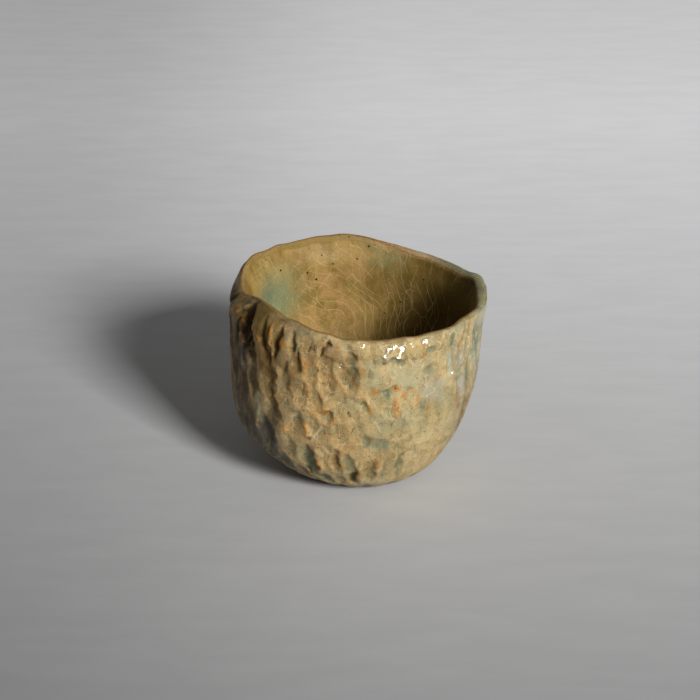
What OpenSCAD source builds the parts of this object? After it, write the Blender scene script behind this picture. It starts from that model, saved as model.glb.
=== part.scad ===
// Guinomi: a small hand-pinched and carved stoneware sake cup, glazed inside and out.
// The origin is on the table under the middle of the cup, +Z up, with the
// folded-in side of the lip at the left front (-X, -Y).

/* [Cup] */
// Widest width of the cup over its glaze, before carving, in mm
cup_w = 66; // [58:1:74]
// Mean height of the lip over the table, in mm
lip_h = 47.5; // [42:0.5:54]
// Height that the lip rises or falls by at a wave share of 1, in mm
lip_rise = 4; // [0:0.5:5]

/* [Wall] */
// Thickness of the clay and both glazes at the lip, in mm
lip_t = 2.3; // [2:0.1:3]
// Thickness of the clay and both glazes at the belly, before carving, in mm
wall_t = 4.6; // [4.2:0.1:6]
// Thickness of the floor over the foot's hollow, with its glaze, in mm
floor_t = 5.5; // [4.5:0.1:7]
// Thickness of each glaze coat, in mm
glaze_t = 0.5; // [0.3:0.05:0.7]
// Depth of a scoop of the carving tool whose depth share is 1, in mm
carve_t = 2.2; // [0:0.1:2.4]

/* [Foot] */
// Height of the foot ring, which is also the height of the wall's lower edge, in mm
foot_h = 1.5; // [1:0.1:2.5]
// Width of the foot ring's band of clay, in mm
foot_w = 4.2; // [3:0.1:6]
// Set-back of the foot ring from the narrowest part of the wall's lower edge, in mm
foot_step = 0.8; // [0.4:0.1:2]
// Rounding of the foot ring's edges, in mm
foot_edge = 0.4; // [0.2:0.05:0.5]
// Depth of the hollow scooped inside the foot ring, in mm
scoop_t = 0.6; // [0:0.1:1]

/* [Hidden] */

half_w = cup_w / 2;
bore_half = half_w - wall_t;

// Steps round the cup, and the sides of the turned foot
around = 108;
turned_sides = 96;

// Plan sections of the outer wall, each a share of half the width. The first table
// holds one value for every 15 degrees, the others one for every 30. They start at
// +X and turn by way of the back.
lip_shares = [
    0.985, 1.000, 0.980, 0.980, 0.975, 0.970, 0.975, 0.980, 0.980, 0.985, 0.995, 0.955,
    0.890, 0.805, 0.820, 0.835, 0.870, 0.930, 0.955, 0.960, 0.965, 0.980, 0.975, 0.990];
brow_shares = [
    0.985, 0.995, 0.980, 0.980, 0.975, 0.970, 0.975, 0.980, 0.985, 0.990, 1.000, 1.000,
    0.975, 0.920, 0.905, 0.910, 0.925, 0.950, 0.965, 0.970, 0.975, 0.980, 0.975, 0.985];
shoulder_shares = [0.965, 0.970, 0.965, 0.970, 0.980, 0.990, 0.985, 0.955, 0.945, 0.955, 0.965, 0.960];
belly_shares = [0.925, 0.935, 0.945, 0.955, 0.970, 0.985, 0.990, 0.985, 0.970, 0.960, 0.950, 0.935];
hip_shares = [0.810, 0.820, 0.850, 0.870, 0.890, 0.910, 0.920, 0.930, 0.920, 0.890, 0.860, 0.825];
heel_shares = [0.660, 0.660, 0.670, 0.680, 0.690, 0.700, 0.710, 0.715, 0.730, 0.740, 0.730, 0.690];
edge_shares = [0.550, 0.540, 0.540, 0.540, 0.545, 0.550, 0.560, 0.570, 0.590, 0.610, 0.610, 0.580];

// Height of each of those sections, as a share of the wall's height
wall_sections = [edge_shares, heel_shares, hip_shares, belly_shares, shoulder_shares, brow_shares, lip_shares];
wall_height_shares = [0, 0.07, 0.24, 0.52, 0.86, 0.94, 1];

// Rise of the lip, as a share of lip_rise, one value for every 15 degrees
wave_shares = [
    -0.12, -0.12, -0.35, -0.38, -0.32, -0.05, 0.28, 0.40, 0.36, 0.34, 0.32, -0.02,
    -0.18, 0.25, 0.52, 0.38, 0.28, 0.18, 0.02, -0.05, -0.10, -0.10, -0.05, -0.12];

// Plan sections of the bowl inside, each a share of half its own width
bowl_well_shares = [0.400, 0.400, 0.405, 0.410, 0.415, 0.420, 0.420, 0.420, 0.415, 0.410, 0.405, 0.400];
bowl_low_shares = [0.690, 0.700, 0.710, 0.720, 0.730, 0.740, 0.745, 0.745, 0.740, 0.725, 0.705, 0.690];
bowl_mid_shares = [0.875, 0.885, 0.900, 0.915, 0.930, 0.945, 0.950, 0.945, 0.935, 0.915, 0.890, 0.875];
bowl_belly_shares = [0.970, 0.975, 0.980, 0.990, 1.000, 1.015, 1.015, 1.000, 0.990, 0.980, 0.970, 0.965];
bowl_neck_shares = [1.000, 0.990, 0.990, 0.995, 1.005, 1.015, 0.990, 0.895, 0.945, 0.985, 0.995, 0.995];
bowl_sections = [bowl_well_shares, bowl_low_shares, bowl_mid_shares, bowl_belly_shares, bowl_neck_shares];
bowl_height_shares = [0.04, 0.15, 0.35, 0.60, 0.86];

// Heights of the rings of points, as shares of the wall's and of the bowl's height
wall_row_shares = [0, 0.06, 0.13, 0.21, 0.30, 0.39, 0.48, 0.57, 0.66, 0.74, 0.81, 0.87, 0.93, 0.98];
bowl_row_shares = [0.04, 0.16, 0.34, 0.60, 0.87];

// The lip's round top: how far in from its outer side each crest ring lies, and how far
// the inner edge falls, as shares of the lip's thickness
crest_in_shares = [0.30, 0.72];
crest_clay_in_shares = [0.38, 0.64];
edge_drop_share = 0.36;

// Scoops of the carving tool. Each row is one scoop: degrees round, height share, half
// width in degrees, half length as a share of the wall's height, lean in degrees over
// the whole height, depth share of carve_t
scoop_shares = [
    // left side: the fold's two gouges and the flutes under the lip
    [178, 0.93, 3.4, 0.08, 30, 0.90], [207.5, 0.88, 6.0, 0.18, -45, 1.30], [220.5, 0.85, 5.2, 0.15, -30, 0.75],
    [228.8, 0.87, 3.9, 0.12, 8, 0.85], [237.5, 0.86, 4.5, 0.14, 0, 0.72], [246.0, 0.90, 4.6, 0.10, 0, 0.42],
    [190, 0.78, 4.5, 0.14, -50, 0.50],
    // middle: the groove beside the bump, the scraped facet and the pits at its edges
    [266.8, 0.91, 2.9, 0.06, 0, 0.50], [264.8, 0.78, 4.4, 0.11, -15, 0.50], [255.8, 0.78, 5.0, 0.12, 0, 0.55],
    [248.5, 0.77, 4.2, 0.08, 0, 0.42], [227.0, 0.66, 5.0, 0.10, 0, 0.55], [235.5, 0.65, 4.5, 0.09, 0, 0.38],
    [243.5, 0.64, 4.5, 0.08, 0, 0.36], [250.5, 0.62, 4.0, 0.08, 0, 0.42], [255.8, 0.545, 4.2, 0.045, 20, 0.72],
    [264.0, 0.60, 7.6, 0.11, 0, 0.42], [272.3, 0.61, 2.4, 0.04, -15, 0.50], [277.5, 0.66, 4.0, 0.08, 0, 0.22],
    [282.6, 0.685, 3.2, 0.038, 0, 0.42], [284.5, 0.60, 3.8, 0.06, 0, 0.34], [293.0, 0.64, 4.0, 0.09, 0, 0.26],
    [272.5, 0.80, 4.0, 0.07, 0, 0.22],
    // left side lower down
    [215.5, 0.62, 4.6, 0.11, 0, 0.58], [208.0, 0.55, 4.6, 0.16, 0, 0.50], [199.5, 0.60, 5.0, 0.17, 0, 0.55],
    [190.5, 0.52, 5.0, 0.17, 0, 0.50], [228.8, 0.50, 5.2, 0.10, 0, 0.62], [241.0, 0.45, 5.2, 0.10, 0, 0.62],
    [250.2, 0.45, 4.6, 0.08, 0, 0.44], [212.0, 0.37, 5.5, 0.13, 0, 0.55], [224.5, 0.36, 6.0, 0.11, 0, 0.60],
    [200.5, 0.30, 5.0, 0.13, 0, 0.50], [236.5, 0.33, 4.8, 0.10, 0, 0.50], [222.0, 0.17, 5.0, 0.08, 0, 0.50],
    [210.0, 0.16, 4.6, 0.08, 0, 0.48], [232.0, 0.19, 4.4, 0.08, 0, 0.52], [239.5, 0.15, 3.6, 0.06, 0, 0.48],
    // lower front: flutes that run down to the foot
    [245.8, 0.25, 4.6, 0.11, -10, 0.82], [244.5, 0.165, 2.3, 0.035, 0, 0.80], [254.5, 0.29, 3.5, 0.10, 0, 0.36],
    [258.8, 0.27, 3.1, 0.09, 0, 0.50], [265.3, 0.24, 3.6, 0.09, 0, 0.48], [267.2, 0.13, 2.9, 0.07, 0, 0.85],
    [275.3, 0.18, 3.7, 0.10, 0, 0.52], [284.3, 0.20, 4.4, 0.12, 0, 0.42], [291.3, 0.19, 2.5, 0.12, 8, 0.62],
    [298.0, 0.20, 4.2, 0.13, -8, 0.30], [305.5, 0.21, 3.8, 0.12, -12, 0.32], [313.0, 0.24, 3.8, 0.12, -15, 0.34],
    [320.5, 0.26, 4.0, 0.13, -18, 0.38], [252.0, 0.10, 4.0, 0.05, 0, 0.48], [260.0, 0.11, 4.0, 0.06, 0, 0.42],
    [262.0, 0.43, 4.5, 0.09, 0, 0.36], [268.5, 0.47, 5.0, 0.07, 0, 0.30], [273.0, 0.415, 2.6, 0.03, 0, 0.42],
    [280.0, 0.50, 5.0, 0.08, 0, 0.22], [281.0, 0.37, 5.5, 0.06, 0, 0.28], [290.0, 0.45, 4.5, 0.08, -10, 0.26],
    [289.0, 0.34, 5.0, 0.05, 0, 0.28], [299.0, 0.56, 4.5, 0.08, -10, 0.28], [301.0, 0.42, 4.5, 0.09, -12, 0.26],
    [309.0, 0.52, 4.5, 0.11, -15, 0.30], [311.0, 0.38, 4.0, 0.10, -15, 0.26],
    // right side
    [277.0, 0.89, 4.5, 0.05, 0, 0.16], [294.3, 0.90, 2.7, 0.05, 0, 0.24], [317.0, 0.80, 2.5, 0.09, 37, 0.40],
    [304.0, 0.785, 4.5, 0.045, 0, 0.28], [323.5, 0.86, 2.4, 0.09, 10, 0.34], [329.5, 0.86, 2.4, 0.10, 12, 0.38],
    [324.0, 0.62, 4.3, 0.13, -18, 0.42], [331.5, 0.68, 3.6, 0.12, 0, 0.34], [338.0, 0.82, 4.2, 0.15, 0, 0.45],
    [346.0, 0.72, 4.6, 0.17, 0, 0.48], [335.0, 0.40, 4.6, 0.14, -15, 0.42], [344.0, 0.42, 4.6, 0.15, -10, 0.42],
    [335.0, 0.18, 4.6, 0.09, -10, 0.42], [350.0, 0.18, 4.6, 0.09, 0, 0.45],
    // back, cut in the same way
    [355, 0.62, 5.0, 0.19, 10, 0.50], [5, 0.80, 5.0, 0.15, 0, 0.58], [5, 0.38, 5.4, 0.17, 10, 0.58],
    [15, 0.62, 5.4, 0.18, -10, 0.62], [25, 0.80, 5.2, 0.15, 10, 0.62], [26, 0.42, 5.4, 0.18, 10, 0.60],
    [36, 0.66, 5.6, 0.17, 15, 0.65], [46, 0.80, 5.4, 0.15, 0, 0.72], [47, 0.42, 5.6, 0.18, -10, 0.62],
    [57, 0.62, 5.6, 0.18, -15, 0.62], [67, 0.80, 5.4, 0.15, 20, 0.62], [68, 0.40, 5.6, 0.17, 10, 0.60],
    [78, 0.60, 5.6, 0.18, 0, 0.68], [89, 0.78, 5.4, 0.15, -10, 0.70], [90, 0.40, 5.6, 0.17, 10, 0.60],
    [100, 0.62, 5.6, 0.18, 10, 0.62], [110, 0.80, 5.6, 0.15, -10, 0.76], [112, 0.42, 5.6, 0.17, -10, 0.62],
    [122, 0.60, 5.6, 0.18, 10, 0.62], [132, 0.78, 5.4, 0.15, 0, 0.70], [134, 0.40, 5.6, 0.17, 10, 0.60],
    [144, 0.60, 5.6, 0.18, -10, 0.62], [154, 0.80, 5.2, 0.14, 10, 0.62], [156, 0.40, 5.6, 0.17, 0, 0.60],
    [166, 0.62, 5.4, 0.18, 0, 0.58], [174, 0.40, 5.4, 0.17, 0, 0.55], [182, 0.62, 4.6, 0.16, 0, 0.50],
    [15, 0.17, 5.4, 0.09, 0, 0.50], [38, 0.16, 5.4, 0.09, 0, 0.52], [60, 0.17, 5.4, 0.09, 0, 0.50],
    [82, 0.16, 5.4, 0.09, 0, 0.52], [104, 0.16, 5.2, 0.08, 0, 0.50], [126, 0.16, 5.4, 0.09, 0, 0.50],
    [148, 0.17, 5.4, 0.09, 0, 0.52], [170, 0.17, 5.4, 0.09, 0, 0.50], [190, 0.18, 5.2, 0.09, 0, 0.48]];

// Lumps of clay that stand proud of the wall, given in the same way
lump_shares = [
    [261.5, 0.93, 4.2, 0.05, 0, 0.40], [192.0, 0.93, 3.6, 0.06, 150, 0.40], [254.6, 0.57, 2.0, 0.03, 0, 0.25],
    [284.2, 0.935, 3.0, 0.048, 0, 0.42], [289.8, 0.930, 1.9, 0.045, 0, 0.36], [295.6, 0.935, 2.6, 0.045, 0, 0.32],
    [300.5, 0.940, 1.9, 0.040, 0, 0.30], [309.0, 0.940, 3.0, 0.040, 0, 0.25], [271.5, 0.950, 3.4, 0.035, 0, 0.22],
    [234.5, 0.38, 2.4, 0.07, 10, 0.25]];
lump_reach = 2.2;

// Share of a cut that is left at each height: the wall's two edges are left whole
cut_left_shares = [[0, 0], [0.03, 1], [0.94, 1], [0.98, 0.4]];

// The foot ring sits inside the wall's narrowest lower edge
foot_out_r = half_w * min(edge_shares) - glaze_t - foot_step;
foot_in_r = foot_out_r - foot_w;
floor_z = foot_h + floor_t;

// Value of a table of shares at an angle, by a smooth curve through its entries
function wrapped(i, n) = (i % n + n) % n;
function curve(a, b, c, d, f) =
    (2 * b + (c - a) * f + (2 * a - 5 * b + 4 * c - d) * f ^ 2 + (3 * b - a - 3 * c + d) * f ^ 3) / 2;
function round_value(table, angle) =
    let (n = len(table), at = angle / 360 * n, i = floor(at))
    curve(table[wrapped(i - 1, n)], table[wrapped(i, n)],
          table[wrapped(i + 1, n)], table[wrapped(i + 2, n)], at - i);

// Value at a height between sections: a smooth curve that passes through each of them
function slope(values, heights, i) =
    let (a = max(i - 1, 0), b = min(i + 1, len(heights) - 1))
    (values[b] - values[a]) / (heights[b] - heights[a]);
function section_below(heights, h, i = 0) =
    i >= len(heights) - 2 || h < heights[i + 1] ? i : section_below(heights, h, i + 1);
function lofted(values, heights, h) =
    let (i = section_below(heights, h), gap = heights[i + 1] - heights[i], f = (h - heights[i]) / gap)
    values[i] * (2 * f ^ 3 - 3 * f ^ 2 + 1) + slope(values, heights, i) * gap * (f ^ 3 - 2 * f ^ 2 + f)
    + values[i + 1] * (3 * f ^ 2 - 2 * f ^ 3) + slope(values, heights, i + 1) * gap * (f ^ 3 - f ^ 2);

// How far an angle and a height lie from a mark's middle, in its own half sizes
function across(s, angle, h) =
    [(wrapped(angle - s[0] - s[4] * (h - s[1]) + 180, 360) - 180) / s[2], (h - s[1]) / s[3]];

// Depth of the deepest scoop at a place, so that neighbours meet at a ridge, less the lumps
function scooped(s, angle, h) = let (at = across(s, angle, h)) s[5] * (1 - at * at);
function raised(s, angle, h) =
    let (at = across(s, angle, h))
    max(abs(at[0]), abs(at[1])) > lump_reach ? 0 : s[5] * exp(-at[0] ^ 2 - at[1] ^ 4);
function carving(angle, h) =
    carve_t * lookup(h, cut_left_shares)
    * (max(0, max([for (s = scoop_shares) scooped(s, angle, h)]))
       - sum_of([for (s = lump_shares) raised(s, angle, h)]));
function sum_of(list) = list * [for (v = list) 1];

function polar(angle, r, z) = [r * cos(angle), r * sin(angle), z];
function lip_z(angle) = lip_h + lip_rise * round_value(wave_shares, angle);
function lip_r(angle) = half_w * round_value(lip_shares, angle);
function wall_r(angle, h) =
    half_w * lofted([for (t = wall_sections) round_value(t, angle)], wall_height_shares, h)
    - carving(angle, h);
function wall_z(angle, h) = foot_h + (lip_z(angle) - foot_h) * h;

// The bowl's table ends at the lip's inner edge, whose radius follows the lip
function rim_in_r(angle) = lip_r(angle) - lip_t;
function rim_in_z(angle) = lip_z(angle) - lip_t * edge_drop_share;
function bowl_r(angle, h) =
    bore_half * lofted(concat([for (t = bowl_sections) round_value(t, angle)], rim_in_r(angle) / bore_half),
                       concat(bowl_height_shares, 1), h);
function bowl_z(angle, h) = floor_z + (rim_in_z(angle) - floor_z) * h;

// Rings of points. in_t is how far a ring lies under the glaze's face: zero on that
// face, glaze_t on the clay
angles = [for (i = [0 : around - 1]) i * 360 / around];
function wall_rings(in_t) =
    [for (h = wall_row_shares) [for (a = angles) polar(a, wall_r(a, h) - in_t, wall_z(a, h))]];
function crest_rings(in_t, in_shares) =
    [for (s = in_shares) [for (a = angles) polar(a, lip_r(a) - lip_t * s, lip_z(a) - in_t)]];
function rim_edge(in_t) = [for (a = angles) polar(a, rim_in_r(a) + in_t, rim_in_z(a))];
function bowl_rings(in_t) =
    [for (h = bowl_row_shares) [for (a = angles) polar(a, bowl_r(a, h) + in_t, bowl_z(a, h) - floor_sink(h, in_t))]];
// The lowest rings lie nearly level, so their coat is measured downward
function floor_sink(h, in_t) = in_t * max(0, 1 - h / bowl_height_shares[1]);
function reversed(list) = [for (i = [len(list) - 1 : -1 : 0]) list[i]];

glaze_wall_rings = concat(wall_rings(0), crest_rings(0, crest_in_shares), [rim_edge(0)]);
clay_wall_rings = concat(wall_rings(glaze_t), crest_rings(glaze_t, crest_clay_in_shares), [rim_edge(glaze_t)]);
glaze_bowl_rings = bowl_rings(0);
clay_bowl_rings = bowl_rings(glaze_t);

// Two triangles for each cell between ring k and ring l. The crossing edge leans the
// other way where the rings run downward, so coats that touch share their triangles
function band(k, l, down) =
    [for (i = [0 : around - 1])
        let (j = (i + 1) % around, a = k * around + i, b = k * around + j, c = l * around + j, d = l * around + i)
        each down ? [[a, d, b], [b, d, c]] : [[a, c, b], [a, d, c]]];

// A solid whose skin runs up one list of rings and down another. It closes on itself,
// or ends at a point at both ends
module skin(up, down, ends = []) {
    rings = concat(up, down);
    count = len(rings);
    first_pole = count * around;
    last_pole = first_pole + 1;
    bands = [for (k = [0 : count - 2]) each band(k, k + 1, k >= len(up) - 1)];
    closing = len(ends) == 0
        ? band(count - 1, 0, false)
        : [for (i = [0 : around - 1])
            let (j = (i + 1) % around, last = (count - 1) * around)
            each [[first_pole, i, j], [last + i, last_pole, last + j]]];
    polyhedron(concat([for (ring = rings) each ring], ends), concat(bands, closing), convexity = 6);
}

// The pinched bowl of stoneware, carved all round, with a scooped underside
module clay_bowl() {
    hollow_ring = [for (a = angles) polar(a, foot_in_r, foot_h)];
    color("#6f4f35")
        skin(concat([hollow_ring], clay_wall_rings), reversed(clay_bowl_rings),
             [[0, 0, foot_h + scoop_t], [0, 0, floor_z - glaze_t]]);
}

// The bare ring of clay luted under the bowl, which the cup stands on
module foot_ring() {
    color("#5d4230")
        rotate_extrude($fn = turned_sides)
            polygon([
                [foot_in_r, foot_h],
                [foot_in_r, foot_edge],
                [foot_in_r + foot_edge, 0],
                [foot_out_r - foot_edge * 2, 0],
                [foot_out_r - foot_edge, foot_edge],
                [foot_out_r, foot_h]]);
}

// The smooth coat inside, from the middle of the floor up to the lip's inner edge
module liner_glaze() {
    color("#a88a55")
        skin(concat(clay_bowl_rings, [rim_edge(glaze_t), rim_edge(0)]), reversed(glaze_bowl_rings),
             [[0, 0, floor_z - glaze_t], [0, 0, floor_z]]);
}

// The coat outside, from the wall's lower edge up and over the lip
module outer_glaze() {
    color("#b9a67c")
        skin(glaze_wall_rings, reversed(clay_wall_rings));
}

clay_bowl();
foot_ring();
liner_glaze();
outer_glaze();
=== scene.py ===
"""Guinomi: a hand-pinched, carved and glazed stoneware sake cup on a sheet of paper."""
import math
from functools import partial

import bpy
import numpy as np
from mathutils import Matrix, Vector


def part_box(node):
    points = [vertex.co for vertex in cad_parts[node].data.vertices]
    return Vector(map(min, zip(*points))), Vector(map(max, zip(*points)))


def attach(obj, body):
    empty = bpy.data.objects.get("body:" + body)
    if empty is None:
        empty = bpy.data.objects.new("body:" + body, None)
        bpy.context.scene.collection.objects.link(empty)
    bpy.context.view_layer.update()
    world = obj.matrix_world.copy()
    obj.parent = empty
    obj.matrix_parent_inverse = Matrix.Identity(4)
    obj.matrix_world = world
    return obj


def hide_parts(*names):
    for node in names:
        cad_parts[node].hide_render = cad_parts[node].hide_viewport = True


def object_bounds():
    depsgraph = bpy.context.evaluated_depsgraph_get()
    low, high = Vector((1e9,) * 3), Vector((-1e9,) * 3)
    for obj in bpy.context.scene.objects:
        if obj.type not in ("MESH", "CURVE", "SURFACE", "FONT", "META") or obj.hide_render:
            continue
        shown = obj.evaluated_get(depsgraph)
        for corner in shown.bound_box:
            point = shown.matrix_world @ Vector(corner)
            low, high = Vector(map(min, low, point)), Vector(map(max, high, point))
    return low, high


bl_info = {
    "name": "Guinomi sake cup",
    "version": (1, 0, 0),
    "blender": (4, 5, 0),
    "location": "View3D > Sidebar > Guinomi",
    "description": "Builds the glazes, clay and foot of a carved sake cup over its measured frame",
    "category": "Add Mesh",
}

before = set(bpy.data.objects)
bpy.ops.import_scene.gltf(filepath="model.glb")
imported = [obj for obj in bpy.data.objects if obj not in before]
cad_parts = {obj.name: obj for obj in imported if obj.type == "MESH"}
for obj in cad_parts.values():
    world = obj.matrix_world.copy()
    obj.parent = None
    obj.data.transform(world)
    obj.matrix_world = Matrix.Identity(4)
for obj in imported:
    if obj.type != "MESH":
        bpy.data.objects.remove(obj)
CAD_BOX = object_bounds()
MM = 0.001

# The form, as in the frame's solids: shares of half the cup's width round its outer
# wall, one for every 15 or every 30 degrees from +X by way of the back
LIP_SHARES = [
    0.985, 1, 0.98, 0.98, 0.975, 0.97, 0.975, 0.98, 0.98, 0.985, 0.995, 0.955,
    0.89, 0.805, 0.82, 0.835, 0.87, 0.93, 0.955, 0.96, 0.965, 0.98, 0.975, 0.99]
BROW_SHARES = [
    0.985, 0.995, 0.98, 0.98, 0.975, 0.97, 0.975, 0.98, 0.985, 0.99, 1, 1,
    0.975, 0.92, 0.905, 0.91, 0.925, 0.95, 0.965, 0.97, 0.975, 0.98, 0.975, 0.985]
SHOULDER_SHARES = [0.965, 0.97, 0.965, 0.97, 0.98, 0.99, 0.985, 0.955, 0.945, 0.955, 0.965, 0.96]
BELLY_SHARES = [0.925, 0.935, 0.945, 0.955, 0.97, 0.985, 0.99, 0.985, 0.97, 0.96, 0.95, 0.935]
HIP_SHARES = [0.81, 0.82, 0.85, 0.87, 0.89, 0.91, 0.92, 0.93, 0.92, 0.89, 0.86, 0.825]
HEEL_SHARES = [0.66, 0.66, 0.67, 0.68, 0.69, 0.7, 0.71, 0.715, 0.73, 0.74, 0.73, 0.69]
EDGE_SHARES = [0.55, 0.54, 0.54, 0.54, 0.545, 0.55, 0.56, 0.57, 0.59, 0.61, 0.61, 0.58]
WALL_SECTIONS = [EDGE_SHARES, HEEL_SHARES, HIP_SHARES, BELLY_SHARES, SHOULDER_SHARES, BROW_SHARES, LIP_SHARES]
WALL_HEIGHT_SHARES = [0, 0.07, 0.24, 0.52, 0.86, 0.94, 1]
WAVE_SHARES = [
    -0.12, -0.12, -0.35, -0.38, -0.27, 0.03, 0.38, 0.5, 0.47, 0.44, 0.38, 0.02,
    -0.18, 0.25, 0.52, 0.38, 0.28, 0.18, 0.02, -0.05, -0.1, -0.1, -0.05, -0.12]

# The bowl inside, as shares of half its own width
BOWL_SECTIONS = [
    [0.4, 0.4, 0.405, 0.41, 0.415, 0.42, 0.42, 0.42, 0.415, 0.41, 0.405, 0.4],
    [0.69, 0.7, 0.71, 0.72, 0.73, 0.74, 0.745, 0.745, 0.74, 0.725, 0.705, 0.69],
    [0.875, 0.885, 0.9, 0.915, 0.93, 0.945, 0.95, 0.945, 0.935, 0.915, 0.89, 0.875],
    [0.97, 0.975, 0.98, 0.99, 1, 1.015, 1.015, 1, 0.99, 0.98, 0.97, 0.965],
    [1, 0.99, 0.99, 0.995, 1.005, 1.015, 0.99, 0.895, 0.945, 0.985, 0.995, 0.995]]
BOWL_HEIGHT_SHARES = [0.04, 0.15, 0.35, 0.6, 0.86]

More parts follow.
